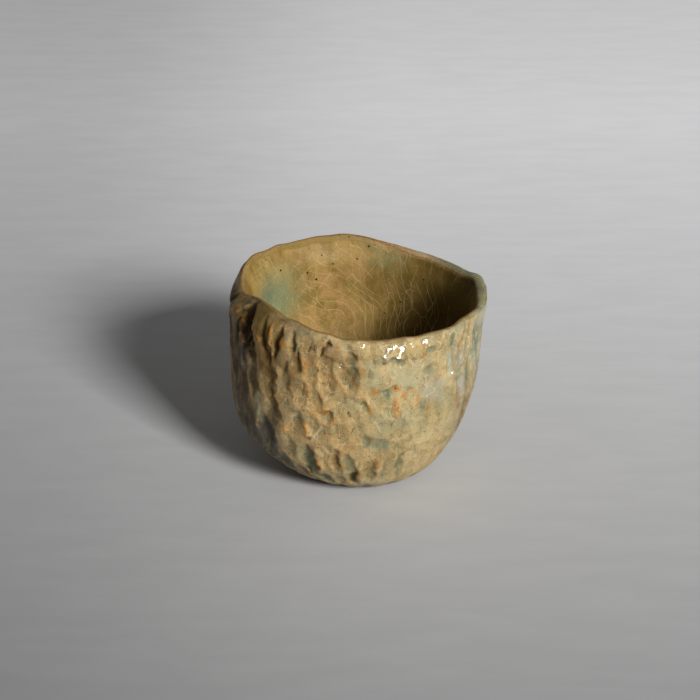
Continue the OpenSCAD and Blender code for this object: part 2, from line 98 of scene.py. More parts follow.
# The carving tool's scoops, as in the frame's solids: degrees round, height share, half
# width in degrees, half length as a height share, lean in degrees over the whole height,
# depth share of the carving. They cut with crisp ridges between them
SCOOP_SHARES = [
    # left side: the fold's two gouges and the flutes under the lip
    (178, 0.93, 3.4, 0.08, 30, 0.9), (207.5, 0.88, 6, 0.18, -45, 1.3),
    (221.5, 0.86, 2.9, 0.12, -30, 0.52), (229.8, 0.88, 2.4, 0.09, 8, 0.7),
    (238.6, 0.9, 2.6, 0.08, -14, 0.55), (241, 0.81, 2.8, 0.08, 12, 0.62), (246, 0.9, 4.6, 0.1, 0, 0.42),
    (190, 0.78, 4.5, 0.14, -50, 0.5), (253.7, 0.9, 1.6, 0.06, 31, 0.35),
    (256.6, 0.955, 1.5, 0.022, 0, 0.8), (199.5, 0.8, 2.2, 0.12, 0, 0.75), (226, 0.8, 2, 0.06, 0, 0.35),
    (234.5, 0.76, 2.4, 0.05, 20, 0.3),
    # middle: the groove beside the bump, the scraped facet and the pits at its edges
    (266.8, 0.91, 2.9, 0.06, 0, 0.5), (268.4, 0.8, 2, 0.09, -5, 0.42),
    (264.8, 0.78, 4.4, 0.11, -15, 0.5), (255.8, 0.78, 5, 0.12, 0, 0.55),
    (248.5, 0.77, 4.2, 0.08, 0, 0.42), (227, 0.66, 5, 0.1, 0, 0.55), (235.5, 0.65, 4.5, 0.09, 0, 0.38),
    (243.5, 0.64, 4.5, 0.08, 0, 0.36), (250.5, 0.62, 4, 0.08, 0, 0.42),
    (255.8, 0.545, 4.2, 0.045, 20, 0.72), (264, 0.6, 7.6, 0.11, 0, 0.42),
    (272.3, 0.61, 2.4, 0.04, -15, 0.5), (277.5, 0.66, 4, 0.08, 0, 0.22),
    (282.6, 0.685, 3.2, 0.038, 0, 0.42), (286.4, 0.715, 1.5, 0.02, 0, 0.32),
    (284.5, 0.6, 3.8, 0.06, 0, 0.34), (293, 0.64, 4, 0.09, 0, 0.26), (272.5, 0.8, 4, 0.07, 0, 0.22),
    # left side lower down
    (215.5, 0.62, 4.6, 0.11, 0, 0.58), (208, 0.55, 4.6, 0.16, 0, 0.5), (199.5, 0.6, 5, 0.17, 0, 0.55),
    (190.5, 0.52, 5, 0.17, 0, 0.5), (228.8, 0.5, 5.2, 0.1, 0, 0.46), (241, 0.45, 5.2, 0.1, 0, 0.46),
    (250.2, 0.45, 4.6, 0.08, 0, 0.44), (212, 0.37, 5.5, 0.13, 0, 0.44), (224.5, 0.36, 6, 0.11, 0, 0.46),
    (200.5, 0.3, 5, 0.13, 0, 0.5), (236.5, 0.33, 4.8, 0.1, 0, 0.4), (222, 0.17, 4.2, 0.08, 0, 0.68),
    (210, 0.16, 4, 0.08, 0, 0.66), (232, 0.19, 4, 0.08, 0, 0.66), (239.5, 0.15, 3.6, 0.06, 0, 0.48),
    (218.5, 0.11, 3, 0.08, 0, 0.5), (226, 0.06, 2.8, 0.08, 0, 0.62), (233.5, 0.02, 3, 0.08, 0, 0.7),
    (243, 0.01, 4.6, 0.07, 0, 0.62), (259, 0.01, 4.2, 0.06, 0, 0.54), (275, 0.01, 4.6, 0.06, 0, 0.44),
    (292, 0.01, 4.6, 0.06, 0, 0.36), (307, 0.03, 4, 0.07, 0, 0.34),
    # lower front: flutes that run down to the foot
    (245.8, 0.25, 4.6, 0.11, -10, 0.66), (244.5, 0.165, 2.3, 0.035, 0, 0.8),
    (254.5, 0.29, 3.5, 0.1, 0, 0.36), (258.8, 0.27, 3.1, 0.09, 0, 0.5),
    (265.3, 0.24, 3.6, 0.09, 0, 0.48), (267.2, 0.13, 2.9, 0.07, 0, 0.85),
    (275.3, 0.18, 3.7, 0.1, 0, 0.52), (284.3, 0.2, 4.4, 0.12, 0, 0.42),
    (291.3, 0.19, 2.5, 0.12, 8, 0.62), (298, 0.2, 4.2, 0.13, -8, 0.3),
    (305.5, 0.21, 3.8, 0.12, -12, 0.32), (313, 0.24, 3.8, 0.12, -15, 0.34),
    (320.5, 0.26, 4, 0.13, -18, 0.38), (252, 0.1, 4, 0.05, 0, 0.48), (260, 0.11, 4, 0.06, 0, 0.42),
    (262, 0.43, 4.5, 0.09, 0, 0.36), (268.5, 0.47, 5, 0.07, 0, 0.3), (273, 0.415, 2.6, 0.03, 0, 0.42),
    (280, 0.5, 5, 0.08, 0, 0.22), (281, 0.37, 5.5, 0.06, 0, 0.28), (290, 0.45, 4.5, 0.08, -10, 0.26),
    (289, 0.34, 5, 0.05, 0, 0.28), (299, 0.56, 4.5, 0.08, -10, 0.28), (301, 0.42, 4.5, 0.09, -12, 0.26),
    (309, 0.52, 4.5, 0.11, -15, 0.3), (311, 0.38, 4, 0.1, -15, 0.26),
    # right side
    (277, 0.89, 4.5, 0.05, 0, 0.16), (286, 0.895, 1.9, 0.035, 0, 0.4),
    (289.6, 0.875, 1.6, 0.04, 25, 0.36), (294.3, 0.9, 2.7, 0.05, 0, 0.24),
    (304, 0.905, 2.1, 0.028, 0, 0.28), (315.7, 0.925, 1.8, 0.045, 8, 0.42),
    (317, 0.8, 2.5, 0.09, 37, 0.4), (304, 0.785, 4.5, 0.045, 0, 0.28),
    (323.5, 0.86, 2.4, 0.09, 10, 0.34), (329.5, 0.86, 2.4, 0.1, 12, 0.38),
    (324, 0.62, 4.3, 0.13, -18, 0.42), (331.5, 0.68, 3.6, 0.12, 0, 0.34),
    (338, 0.82, 4.2, 0.15, 0, 0.45), (346, 0.72, 4.6, 0.17, 0, 0.48), (335, 0.4, 4.6, 0.14, -15, 0.42),
    (344, 0.42, 4.6, 0.15, -10, 0.42), (335, 0.18, 4.6, 0.09, -10, 0.42),
    (350, 0.18, 4.6, 0.09, 0, 0.45),
    # back, cut in the same way
    (355, 0.62, 5, 0.19, 10, 0.5), (5, 0.8, 5, 0.15, 0, 0.58), (5, 0.38, 5.4, 0.17, 10, 0.58),
    (15, 0.62, 5.4, 0.18, -10, 0.62), (25, 0.8, 5.2, 0.15, 10, 0.62), (26, 0.42, 5.4, 0.18, 10, 0.6),
    (36, 0.66, 5.6, 0.17, 15, 0.65), (46, 0.8, 5.4, 0.15, 0, 0.72), (47, 0.42, 5.6, 0.18, -10, 0.62),
    (57, 0.62, 5.6, 0.18, -15, 0.62), (67, 0.8, 5.4, 0.15, 20, 0.62), (68, 0.4, 5.6, 0.17, 10, 0.6),
    (78, 0.6, 5.6, 0.18, 0, 0.68), (89, 0.78, 5.4, 0.15, -10, 0.7), (90, 0.4, 5.6, 0.17, 10, 0.6),
    (100, 0.62, 5.6, 0.18, 10, 0.62), (110, 0.8, 5.6, 0.15, -10, 0.76),
    (112, 0.42, 5.6, 0.17, -10, 0.62), (122, 0.6, 5.6, 0.18, 10, 0.62), (132, 0.78, 5.4, 0.15, 0, 0.7),
    (134, 0.4, 5.6, 0.17, 10, 0.6), (144, 0.6, 5.6, 0.18, -10, 0.62), (154, 0.8, 5.2, 0.14, 10, 0.62),
    (156, 0.4, 5.6, 0.17, 0, 0.6), (166, 0.62, 5.4, 0.18, 0, 0.58), (174, 0.4, 5.4, 0.17, 0, 0.55),
    (182, 0.62, 4.6, 0.16, 0, 0.5), (15, 0.17, 5.4, 0.09, 0, 0.5), (38, 0.16, 5.4, 0.09, 0, 0.52),
    (60, 0.17, 5.4, 0.09, 0, 0.5), (82, 0.16, 5.4, 0.09, 0, 0.52), (104, 0.16, 5.2, 0.08, 0, 0.5),
    (126, 0.16, 5.4, 0.09, 0, 0.5), (148, 0.17, 5.4, 0.09, 0, 0.52), (170, 0.17, 5.4, 0.09, 0, 0.5),
    (190, 0.18, 5.2, 0.09, 0, 0.48)]

# Lumps that stand proud of the wall, given like the scoops
LUMP_SHARES = [
    (261.5, 0.93, 4.2, 0.05, 0, 0.4), (192, 0.93, 3.6, 0.06, 150, 0.4), (226, 0.91, 1.3, 0.05, 0, 0.25),
    (234.3, 0.9, 1.6, 0.05, 0, 0.22), (208.5, 0.87, 1.2, 0.06, -40, 0.35),
    (254.6, 0.57, 2, 0.03, 0, 0.25), (288.2, 0.61, 1.1, 0.06, -10, 0.22),
    (274.4, 0.6, 0.9, 0.04, -30, 0.22), (294.3, 0.9, 1.2, 0.02, 0, 0.2),
    (284.2, 0.93, 1.9, 0.05, 0, 0.42), (288.6, 0.925, 1.8, 0.05, 0, 0.36),
    (295.6, 0.935, 2.2, 0.045, 0, 0.32), (300.5, 0.935, 1.6, 0.042, 0, 0.3),
    (309, 0.94, 3, 0.04, 0, 0.25), (271.5, 0.95, 3.4, 0.035, 0, 0.22),
    (283.2, 0.905, 1.2, 0.022, 0, 0.34), (286.6, 0.915, 1.1, 0.025, 0, 0.36),
    (289.4, 0.9, 1, 0.022, 0, 0.32), (284.9, 0.962, 1.2, 0.018, 0, 0.28),
    (288.3, 0.96, 1, 0.018, 0, 0.28), (317, 0.715, 0.9, 0.018, 0, 0.3), (280, 0.22, 1.2, 0.07, 0, 0.22),
    (270.8, 0.15, 1.4, 0.07, 0, 0.25), (251, 0.24, 1.6, 0.08, 0, 0.3), (262.5, 0.27, 1.2, 0.07, 0, 0.2),
    (218.6, 0.42, 1.6, 0.07, 20, 0.3), (234.5, 0.38, 2.4, 0.07, 10, 0.25)]

# Places with fine upright scratches, given like the scoops
SCRATCH_SHARES = [
    (302, 0.28, 11, 0.18, -12, 1), (211, 0.84, 5, 0.14, -45, 1), (284, 0.18, 6, 0.1, 0, 0.7),
    (266, 0.78, 4, 0.1, -15, 0.5), (209, 0.55, 8, 0.16, 0, 0.8), (262, 0.6, 6, 0.09, 30, 0.4),
    (338, 0.6, 12, 0.3, 0, 0.8), (90, 0.5, 60, 0.35, 0, 0.6)]

# Thin pale crests where two cuts meet, and thin dark cracks, given like the scoops
CREST_SHARES = [
    (268, 0.53, 0.8, 0.025, -100, 1), (279, 0.495, 0.6, 0.05, -47, 1),
    (283, 0.612, 1.6, 0.014, -180, 0.9), (285.5, 0.73, 1.4, 0.014, -140, 0.6),
    (285.3, 0.68, 0.8, 0.016, -75, 0.8), (256, 0.655, 0.7, 0.04, 40, 0.8),
    (258.5, 0.69, 0.8, 0.01, 120, 0.7), (253.5, 0.478, 0.7, 0.022, -57, 1),
    (252, 0.445, 0.7, 0.045, 60, 1), (248, 0.42, 0.9, 0.022, -95, 1), (259, 0.455, 0.5, 0.045, 8, 0.8),
    (253.7, 0.35, 0.6, 0.05, -44, 1), (255.6, 0.325, 0.6, 0.035, -50, 0.9),
    (240.7, 0.56, 0.5, 0.035, -15, 0.9), (243.3, 0.7, 0.9, 0.022, -110, 0.7),
    (244, 0.675, 0.8, 0.02, 70, 0.7), (247.5, 0.575, 1, 0.014, -120, 0.7),
    (272, 0.567, 1, 0.014, -130, 0.8), (230.5, 0.635, 0.5, 0.035, -20, 0.9),
    (244, 0.545, 0.8, 0.022, -80, 0.8), (240.3, 0.25, 0.6, 0.03, -40, 0.7),
    (218, 0.41, 0.6, 0.06, -15, 0.6), (220, 0.38, 0.5, 0.045, -12, 0.6),
    (266.8, 0.3, 0.5, 0.06, -10, 0.7), (274.6, 0.64, 0.7, 0.018, -10, 0.9),
    (296, 0.53, 0.6, 0.04, 30, 0.7), (303, 0.48, 0.8, 0.03, -90, 0.6), (292, 0.4, 0.8, 0.03, 70, 0.6),
    (284, 0.31, 0.8, 0.03, -60, 0.6), (308, 0.64, 0.6, 0.04, 20, 0.6), (226, 0.56, 0.6, 0.04, 25, 0.6),
    (235, 0.48, 0.7, 0.03, -60, 0.7), (263, 0.37, 0.7, 0.03, 60, 0.7), (40, 0.6, 0.7, 0.05, 40, 0.7),
    (75, 0.5, 0.7, 0.05, -50, 0.7), (120, 0.65, 0.7, 0.05, 30, 0.7), (160, 0.5, 0.7, 0.05, -40, 0.7)]
CRACK_SHARES = [
    (253.6, 0.905, 0.5, 0.035, 17, 1), (250.1, 0.922, 0.5, 0.025, 8, 0.8),
    (247.5, 0.9, 0.5, 0.025, 10, 0.9), (268.6, 0.8, 0.5, 0.05, 12, 0.8),
    (259, 0.76, 0.5, 0.04, -12, 0.5), (245.2, 0.69, 0.5, 0.035, -5, 0.7),
    (254, 0.72, 0.9, 0.012, -85, 0.7), (266, 0.565, 0.5, 0.02, -15, 0.8),
    (267.2, 0.465, 0.5, 0.022, 33, 0.7), (247.2, 0.395, 1.2, 0.012, 0, 0.9),
    (241.8, 0.86, 0.6, 0.05, 12, 0.9), (232.5, 0.76, 0.5, 0.04, 10, 0.7),
    (236.5, 0.7, 0.5, 0.04, -12, 0.6), (226.5, 0.74, 0.5, 0.05, -10, 0.7),
    (288, 0.87, 0.5, 0.025, 20, 0.7), (282.5, 0.88, 0.5, 0.025, 0, 0.7), (277, 0.88, 0.5, 0.03, 0, 0.5),
    (301.5, 0.61, 0.6, 0.02, -40, 0.5), (289.5, 0.555, 0.5, 0.03, 15, 0.6),
    (262, 0.19, 0.6, 0.04, 0, 0.7), (248, 0.13, 0.6, 0.03, 0, 0.7)]

# Where the coat shows a colour of its own, and where painted shade, painted reflection, painted light and
# painted glints are laid over it: degrees round, height share, half width in degrees, half length as a height
# share, lean, strength
PATCH_SHARES = {
    # Green pools in the hollows
    "teal": [
        (246.5, 0.79, 1.6, 0.02, 0, 0.7), (241, 0.92, 2.4, 0.06, -10, 0.55),
        (248, 0.21, 3, 0.09, -10, 0.9), (242, 0.26, 3.5, 0.1, 0, 0.5), (253, 0.1, 6, 0.05, 0, 0.8),
        (265, 0.24, 4, 0.06, 0, 0.7), (273, 0.4, 4, 0.045, 0, 0.75), (280, 0.38, 5, 0.06, 0, 0.5),
        (284, 0.37, 2, 0.05, 0, 0.5), (283, 0.68, 3.2, 0.05, 0, 0.75), (293, 0.7, 3.2, 0.03, 0, 0.55),
        (304, 0.785, 6, 0.045, 0, 0.65), (273.5, 0.88, 2.6, 0.03, 0, 0.6),
        (286.5, 0.885, 2.2, 0.025, 0, 0.8), (289.5, 0.87, 1.5, 0.03, 0, 0.7),
        (303.5, 0.91, 2.6, 0.03, 25, 0.7), (316, 0.92, 1.8, 0.05, 0, 0.9),
        (320, 0.8, 2.5, 0.08, 30, 0.5), (338, 0.84, 4, 0.1, 0, 0.9), (345, 0.7, 4.5, 0.16, 0, 0.9),
        (331, 0.62, 3, 0.1, 0, 0.7), (272, 0.64, 1.6, 0.025, 0, 0.7), (276, 0.59, 1.8, 0.04, 0, 0.4),
        (299, 0.59, 2.6, 0.03, 0, 0.6), (302, 0.53, 3.5, 0.05, 0, 0.45), (291, 0.22, 2, 0.1, 8, 0.7),
        (297, 0.1, 5, 0.05, 0, 0.5), (284, 0.15, 2.4, 0.06, 0, 0.45), (291, 0.48, 2, 0.05, 0, 0.45),
        (257, 0.53, 3.5, 0.03, 0, 0.5), (310, 0.62, 3.5, 0.06, 0, 0.3), (272, 0.78, 2, 0.06, 0, 0.4),
        (268, 0.84, 2, 0.07, 0, 0.6), (2, 0.6, 7, 0.2, 0, 0.7), (30, 0.8, 8, 0.12, 0, 0.6),
        (62, 0.45, 8, 0.15, 0, 0.5), (100, 0.75, 9, 0.12, 0, 0.6), (128, 0.3, 9, 0.14, 0, 0.6),
        (160, 0.22, 8, 0.1, 0, 0.5), (15, 0.14, 8, 0.08, 0, 0.6), (80, 0.14, 8, 0.07, 0, 0.5)],
    # Orange-brown breaks over edges
    "rust": [
        (193.6, 0.93, 1.8, 0.035, 20, 0.9), (209.3, 0.82, 0.6, 0.05, -20, 0.6),
        (215, 0.86, 0.8, 0.06, -50, 0.9), (187, 0.975, 4, 0.02, 0, 0.5),
        (226.5, 0.93, 0.8, 0.03, 0, 0.6), (234, 0.9, 1.4, 0.012, 0, 0.8),
        (246, 0.815, 1.6, 0.02, 0, 0.8), (244.5, 0.77, 1, 0.012, 0, 0.8),
        (256, 0.885, 0.9, 0.02, 0, 0.7), (269.5, 0.9, 1, 0.015, 0, 0.8),
        (271.5, 0.81, 1.2, 0.03, 0, 0.5), (262.5, 0.71, 1.2, 0.03, -60, 0.6),
        (255.5, 0.565, 1.8, 0.03, 0, 0.9), (259.5, 0.52, 1.2, 0.015, 0, 0.9),
        (274.5, 0.6, 0.8, 0.04, -30, 1), (272.5, 0.66, 1.4, 0.015, 0, 0.8),
        (278, 0.705, 1.4, 0.02, 0, 0.7), (288, 0.715, 1.6, 0.015, 0, 0.8),
        (290.5, 0.67, 1, 0.025, 20, 1), (287.8, 0.6, 1.2, 0.06, -10, 0.8),
        (294, 0.695, 1, 0.012, 0, 0.9), (297, 0.62, 0.8, 0.03, 0, 0.6), (303, 0.57, 0.8, 0.03, 30, 0.6),
        (304.5, 0.545, 0.7, 0.02, 0, 0.6), (311, 0.76, 1.4, 0.01, 0, 0.7),
        (311, 0.87, 1.6, 0.008, 0, 0.6), (323, 0.865, 1, 0.03, 0, 0.6), (326, 0.72, 1, 0.04, 0, 0.7),
        (320, 0.71, 0.8, 0.05, 0, 0.5), (315, 0.94, 2, 0.01, 0, 0.5), (271.5, 0.43, 1.2, 0.01, 0, 0.7),
        (276, 0.42, 1.4, 0.012, 0, 0.5), (279.5, 0.25, 0.8, 0.05, 0, 0.8),
        (319, 0.185, 1.6, 0.02, 0, 1), (318, 0.25, 1.6, 0.03, 0, 0.5), (314, 0.3, 2, 0.015, 0, 0.5),
        (307, 0.31, 1.2, 0.015, 0, 0.4), (237, 0.43, 2.4, 0.04, 0, 0.5), (324, 0.5, 1, 0.05, -20, 0.5),
        (300, 0.905, 1, 0.012, 0, 0.6), (251.5, 0.255, 0.7, 0.04, 0, 0.8),
        (246, 0.445, 0.6, 0.03, -5, 0.6), (12, 0.7, 1.5, 0.06, 0, 0.6), (50, 0.6, 1.5, 0.05, 0, 0.6),
        (83, 0.82, 1.5, 0.05, 0, 0.6), (117, 0.55, 1.5, 0.06, 0, 0.6), (149, 0.8, 1.5, 0.05, 0, 0.6),
        (172, 0.4, 1.5, 0.06, 0, 0.6)],
    # Dark olive glaze in the cuts, darkened further as painted shade where they lie in shade
    "olive_and_painted_shade": [
        (227, 0.78, 13, 0.22, 0, 0.36), (213, 0.96, 9, 0.1, 0, 0.75), (203, 0.88, 6, 0.1, 0, 1),
        (178, 0.93, 8, 0.1, 0, 1), (222, 0.8, 6, 0.1, 0, 0.6), (186, 0.82, 9, 0.12, 0, 0.6),
        (230, 0.86, 2.4, 0.08, 0, 0.6), (223, 0.87, 2.2, 0.07, -20, 0.6),
        (240, 0.86, 2.4, 0.1, 0, 0.45), (268, 0.81, 1.8, 0.1, 0, 0.8), (256.6, 0.945, 1.1, 0.015, 0, 1),
        (230, 0.5, 5, 0.12, 0, 0.6), (238, 0.26, 4, 0.06, 0, 0.3), (225, 0.66, 5, 0.08, 0, 0.35),
        (243, 0.46, 4, 0.08, 0, 0.25), (260.5, 0.27, 2, 0.07, 0, 0.6), (268.5, 0.14, 1.8, 0.06, 0, 1),
        (245, 0.18, 1.4, 0.03, 0, 1), (278, 0.18, 1.6, 0.07, 0, 0.5), (291, 0.25, 1.4, 0.06, 8, 0.5),
        (286, 0.3, 3, 0.04, 0, 0.3), (239, 0.72, 4, 0.06, -30, 0.5), (286.5, 0.715, 1, 0.012, 0, 0.7)],
    # Purple-brown painted shade and painted reflection of the cool surroundings, on the shaded far left and
    # low on the right
    "dusk_shade_and_reflection": [
        (200, 0.52, 13, 0.26, 0, 1), (208, 0.7, 7, 0.14, 0, 0.6), (226, 0.36, 7, 0.1, 0, 0.3),
        (324, 0.52, 3, 0.08, -20, 0.6), (335, 0.35, 6, 0.12, 0, 0.6)],
    # Straw on the palest swells, and painted light for the paper's bounce on the lower right wall
    "pale": [
        (304, 0.24, 13, 0.22, 0, 0.9), (320, 0.36, 9, 0.2, 0, 0.6), (284, 0.8, 13, 0.06, 0, 0.3),
        (284, 0.14, 10, 0.1, 0, 0.5), (258, 0.36, 10, 0.08, 0, 0.4), (248, 0.45, 4, 0.06, 0, 0.5),
        (262, 0.61, 5, 0.08, 0, 0.5), (234, 0.72, 6, 0.1, 0, 0.4), (296, 0.5, 8, 0.16, 0, 0.4)],
    # A blue-grey painted reflection of the pale surroundings, along the right side
    "frost_reflection": [
        (341, 0.8, 6, 0.18, 0, 0.9), (325, 0.66, 3.5, 0.14, -20, 0.8), (318, 0.8, 1, 0.08, 36, 0.9),
        (306, 0.66, 6, 0.08, 0, 0.4), (350, 0.55, 6, 0.25, 0, 0.6)],
    # Thick dark glaze low on the shaded left side, darkened as painted shade near the foot
    "slate_and_shade": [
        (213, 0.2, 18, 0.2, 0, 1), (225, 0.32, 6.5, 0.13, 0, 0.9), (222, 0.14, 8, 0.06, 0, 0.6),
        (248, 0.27, 3, 0.08, 0, 0.9), (240, 0.1, 6, 0.05, 0, 0.5), (267.5, 0.13, 2.5, 0.05, 0, 0.5)],
    # Near-black painted shade inside the fold's gouges
    "deep": [
        (199.5, 0.955, 2.2, 0.06, -60, 0.9), (206, 0.86, 2.6, 0.08, -45, 1),
        (208.5, 0.755, 2, 0.07, 0, 0.9), (212, 0.84, 2.4, 0.09, -40, 0.6),
        (199, 0.79, 3.4, 0.08, -15, 0.8), (171, 0.9, 7, 0.09, 0, 0.9)],
    # Thick and glossy where it ran under the lip; its clear coat is turned to the lamp to give painted glints
    "wet_glint": [
        (286.6, 0.974, 4.4, 0.008, 0, 0.9), (282.6, 0.938, 0.75, 0.03, 0, 1),
        (285.3, 0.95, 0.6, 0.022, 12, 0.9), (289, 0.934, 0.7, 0.04, 22, 1),
        (287.2, 0.916, 0.45, 0.02, 0, 0.8), (299.2, 0.969, 1.6, 0.006, 0, 0.9),
        (300.3, 0.937, 0.45, 0.034, 0, 0.8), (302.3, 0.957, 0.45, 0.018, -12, 0.8),
        (293.5, 0.967, 0.8, 0.008, 0, 0.6), (255, 0.966, 0.6, 0.01, 0, 0.9),
        (272, 0.979, 1, 0.012, 0, 0.9), (247, 0.969, 2.6, 0.006, 0, 0.5),
        (317.5, 0.88, 0.4, 0.036, 20, 0.8), (314.5, 0.86, 0.35, 0.036, 25, 0.6)],
}

# Where the sand of the clay warms the coat to a reddish tan, and where the liner's glaze
# laps over the fold, given like the other patches
WARM_PATCH_SHARES = [
    (205, 0.94, 12, 0.1, 0, 0.9), (248, 0.62, 19, 0.4, 0, 1), (224, 0.86, 15, 0.22, 0, 0.9),
    (262, 0.86, 7, 0.12, 0, 0.5), (262, 0.3, 12, 0.12, 0, 0.6), (284, 0.2, 14, 0.1, 0, 0.5),
    (308, 0.22, 12, 0.14, -15, 0.6), (306, 0.9, 5, 0.05, 0, 0.4), (120, 0.55, 40, 0.35, 0, 0.5),
    (30, 0.4, 25, 0.2, 0, 0.5)]
LAPPED_PATCH_SHARES = [
    (211, 0.98, 13, 0.1, 0, 1), (191, 0.985, 6, 0.05, 0, 0.8), (226, 0.9, 5, 0.08, 0, 0.4)]

# Masks that the outer coat's grid carries for its material
GLAZE_MASKS = [
    *PATCH_SHARES, "warm", "lapped", "pool", "shade", "broken", "crest", "crack", "gloss", "drawn",
    "lip_line", "lip_ochre", "lip_buff_and_light", "lip_green"]

# Pinholes and iron dots of the outer glaze, and beads of clear glaze whose coat is turned to the lamp to give
# painted glints: degrees round, height share, radius in millimetres
PINHOLE_SHARES = [
    (281, 0.87, 0.3), (296.8, 0.762, 0.22), (295, 0.89, 0.22), (303, 0.4, 0.2), (195.5, 0.94, 0.3),
    (317.8, 0.89, 0.16), (286.8, 0.716, 0.25), (262.5, 0.62, 0.18), (245.5, 0.56, 0.2),
    (275, 0.3, 0.18), (20, 0.7, 0.3), (70, 0.5, 0.25), (110, 0.85, 0.3), (150, 0.6, 0.25),
    (205, 0.45, 0.2)]
GLINT_BEAD_SHARES = [
    (262.6, 0.862, 0.2), (262.2, 0.847, 0.18), (261.9, 0.83, 0.22), (262.6, 0.81, 0.15),
    (293.9, 0.97, 0.2), (311, 0.94, 0.2), (322, 0.835, 0.22), (317, 0.72, 0.32), (318, 0.7, 0.24)]

# Pinholes and iron dots of the liner: millimetres round the bowl's wall from the back to
# the right, height over the table, and radius
LINER_DOTS_MM = [
    (2.7, 46.4, 0.34), (-6.6, 42.3, 0.26), (-0.2, 43.3, 0.3), (-9.3, 44.7, 0.25), (-13.7, 40.8, 0.32),
    (-11.2, 38.5, 0.4), (-24.4, 46.7, 0.22), (18.3, 40, 0.3), (11.5, 32.1, 0.34), (23.2, 44.2, 0.26),
    (37.6, 45.6, 0.6), (7.3, 28.4, 0.26), (-21.5, 43.3, 0.35)]

# Round the lip, one share for every 30 degrees from +X: how bare its edge is worn, where across the lip that
# line runs, how far the liner's ochre laps over it, how glossy it is, how buff it is (pale glaze at the back
# right, painted light on the fold at the left), how green it is, how much lower its inner edge lies, and its
# thickness
WORN_LIP_SHARES = [0.8, 1, 0.9, 0.9, 1, 1, 0.9, 0.5, 0.9, 0.9, 0.9, 1]
LIP_LINE_SHARES = [0.86, 0.9, 0.86, 0.38, 0.33, 0.27, 0.4, 0.7, 0.52, 0.46, 0.46, 0.52]
OCHRE_LIP_SHARES = [0, 0, 0.4, 1, 1, 1, 0.8, 0.9, 0.5, 0.1, 0, 0]
GLOSS_LIP_SHARES = [0.6, 0.4, 0.5, 0.3, 0.3, 0.3, 0.1, 0.1, 0.6, 1, 1, 0.8]
BUFF_AND_LIGHT_LIP_SHARES = [0, 0.3, 0.7, 0.3, 0, 0, 0.6, 0, 0, 0, 0, 0]
GREEN_LIP_SHARES = [0.7, 1, 0.1, 0, 0, 0, 0, 0, 0, 0, 0.1, 0.4]
SLANT_LIP_SHARES = [0.2, 0.3, 0.3, 0.4, 0.5, 0.5, 0.4, 0.2, 0, 0, 0, 0.1]
LIP_WALL_SHARES = [1.1, 1.2, 1, 0.8, 0.6, 0.55, 0.6, 0.7, 0.95, 1, 1, 1]

# Grid of the glazed faces: columns round the cup, rows up the wall, over the lip, down
# the bowl, and on the hidden side of a coat
COLUMNS = 576
WALL_ROWS = 150
LIP_ROWS = 9
HIDDEN_ROWS = 8
BOWL_ROWS = 70
TURN = np.arange(COLUMNS + 1) * 360 / COLUMNS

# The wall's top row as a share of the lip's height, the power that sets its rows a little
# closer towards the lip, and the most that carving leaves standing, as a share of half
# the width
WALL_TOP_SHARE = 0.985
ROW_POWER = 0.97
WIDEST_SHARE = 0.992

# Rise of the lip's round top as a share of its thickness, radius on which the bowl's patterns are unrolled,
# spacing of the outer glaze's grain, and the fixed way, half way between the lamp and the camera, that the
# painted glints face
LIP_ROUND_SHARE = 0.36
BOWL_ARC_MM = 28
GRAIN_MM = 0.34
GLINT_WAY = (0.245, -0.849, 0.468)

# The photograph's frame: its side in pixels, its scale at the cup's middle, and the
# pixel where that middle lies
PHOTO_SIDE = 700
PHOTO_PIXELS_PER_MM = 3.9
AIM_PIXEL = (358, 372)


def srgb(code):
    """Turns a six-figure sRGB hex colour to the linear one that shaders use."""
    parts = [int(code[i:i + 2], 16) / 255 for i in (0, 2, 4)]
    return [c / 12.92 if c <= 0.04045 else ((c + 0.055) / 1.055) ** 2.4 for c in parts] + [1.0]


def colour(name, words, code):
    """A colour property of the panel, from a hex value."""
    return bpy.props.FloatVectorProperty(
        name=name, description=words, subtype="COLOR", size=4, min=0, max=1, default=srgb(code))


def length(name, words, millimetres):
    """A length property of the panel, given in millimetres."""
    return bpy.props.FloatProperty(
        name=name, description=words, unit="LENGTH", subtype="DISTANCE", precision=5,
        default=millimetres * MM)


def angle(name, words, degrees):
    """An angle property of the panel, given in degrees."""
    return bpy.props.FloatProperty(
        name=name, description=words, subtype="ANGLE", default=math.radians(degrees))


class GuinomiSizes(bpy.types.PropertyGroup):
    """Sizes of the cup's clay and glazes"""
    half_width: length("Half width", "Half the width that the wall's shares are of", 33.0)
    lip_height: length("Lip height", "Mean height of the lip over the table", 47.5)
    lip_rise: length("Lip rise", "Rise of the lip at a wave share of 1", 4.0)
    lip_wall: length("Lip thickness", "Clay and both glazes at the lip", 2.3)
    belly_wall: length("Wall thickness", "Clay and both glazes at the belly", 4.6)
    floor_wall: length("Floor thickness", "Clay and glaze over the foot's hollow", 5.5)
    glaze: length("Glaze thickness", "Thickness of each coat", 0.5)
    carving: length("Carving depth", "Depth of a scoop whose depth share is 1", 2.05)
    chips: length("Nick depth", "Depth of the small nicks between the scoops", 0.09)
    grit: length("Grit depth", "Relief of the coarse grit under the glaze", 0.10)
    scoop: length("Foot hollow", "Depth of the hollow inside the foot ring", 0.6)


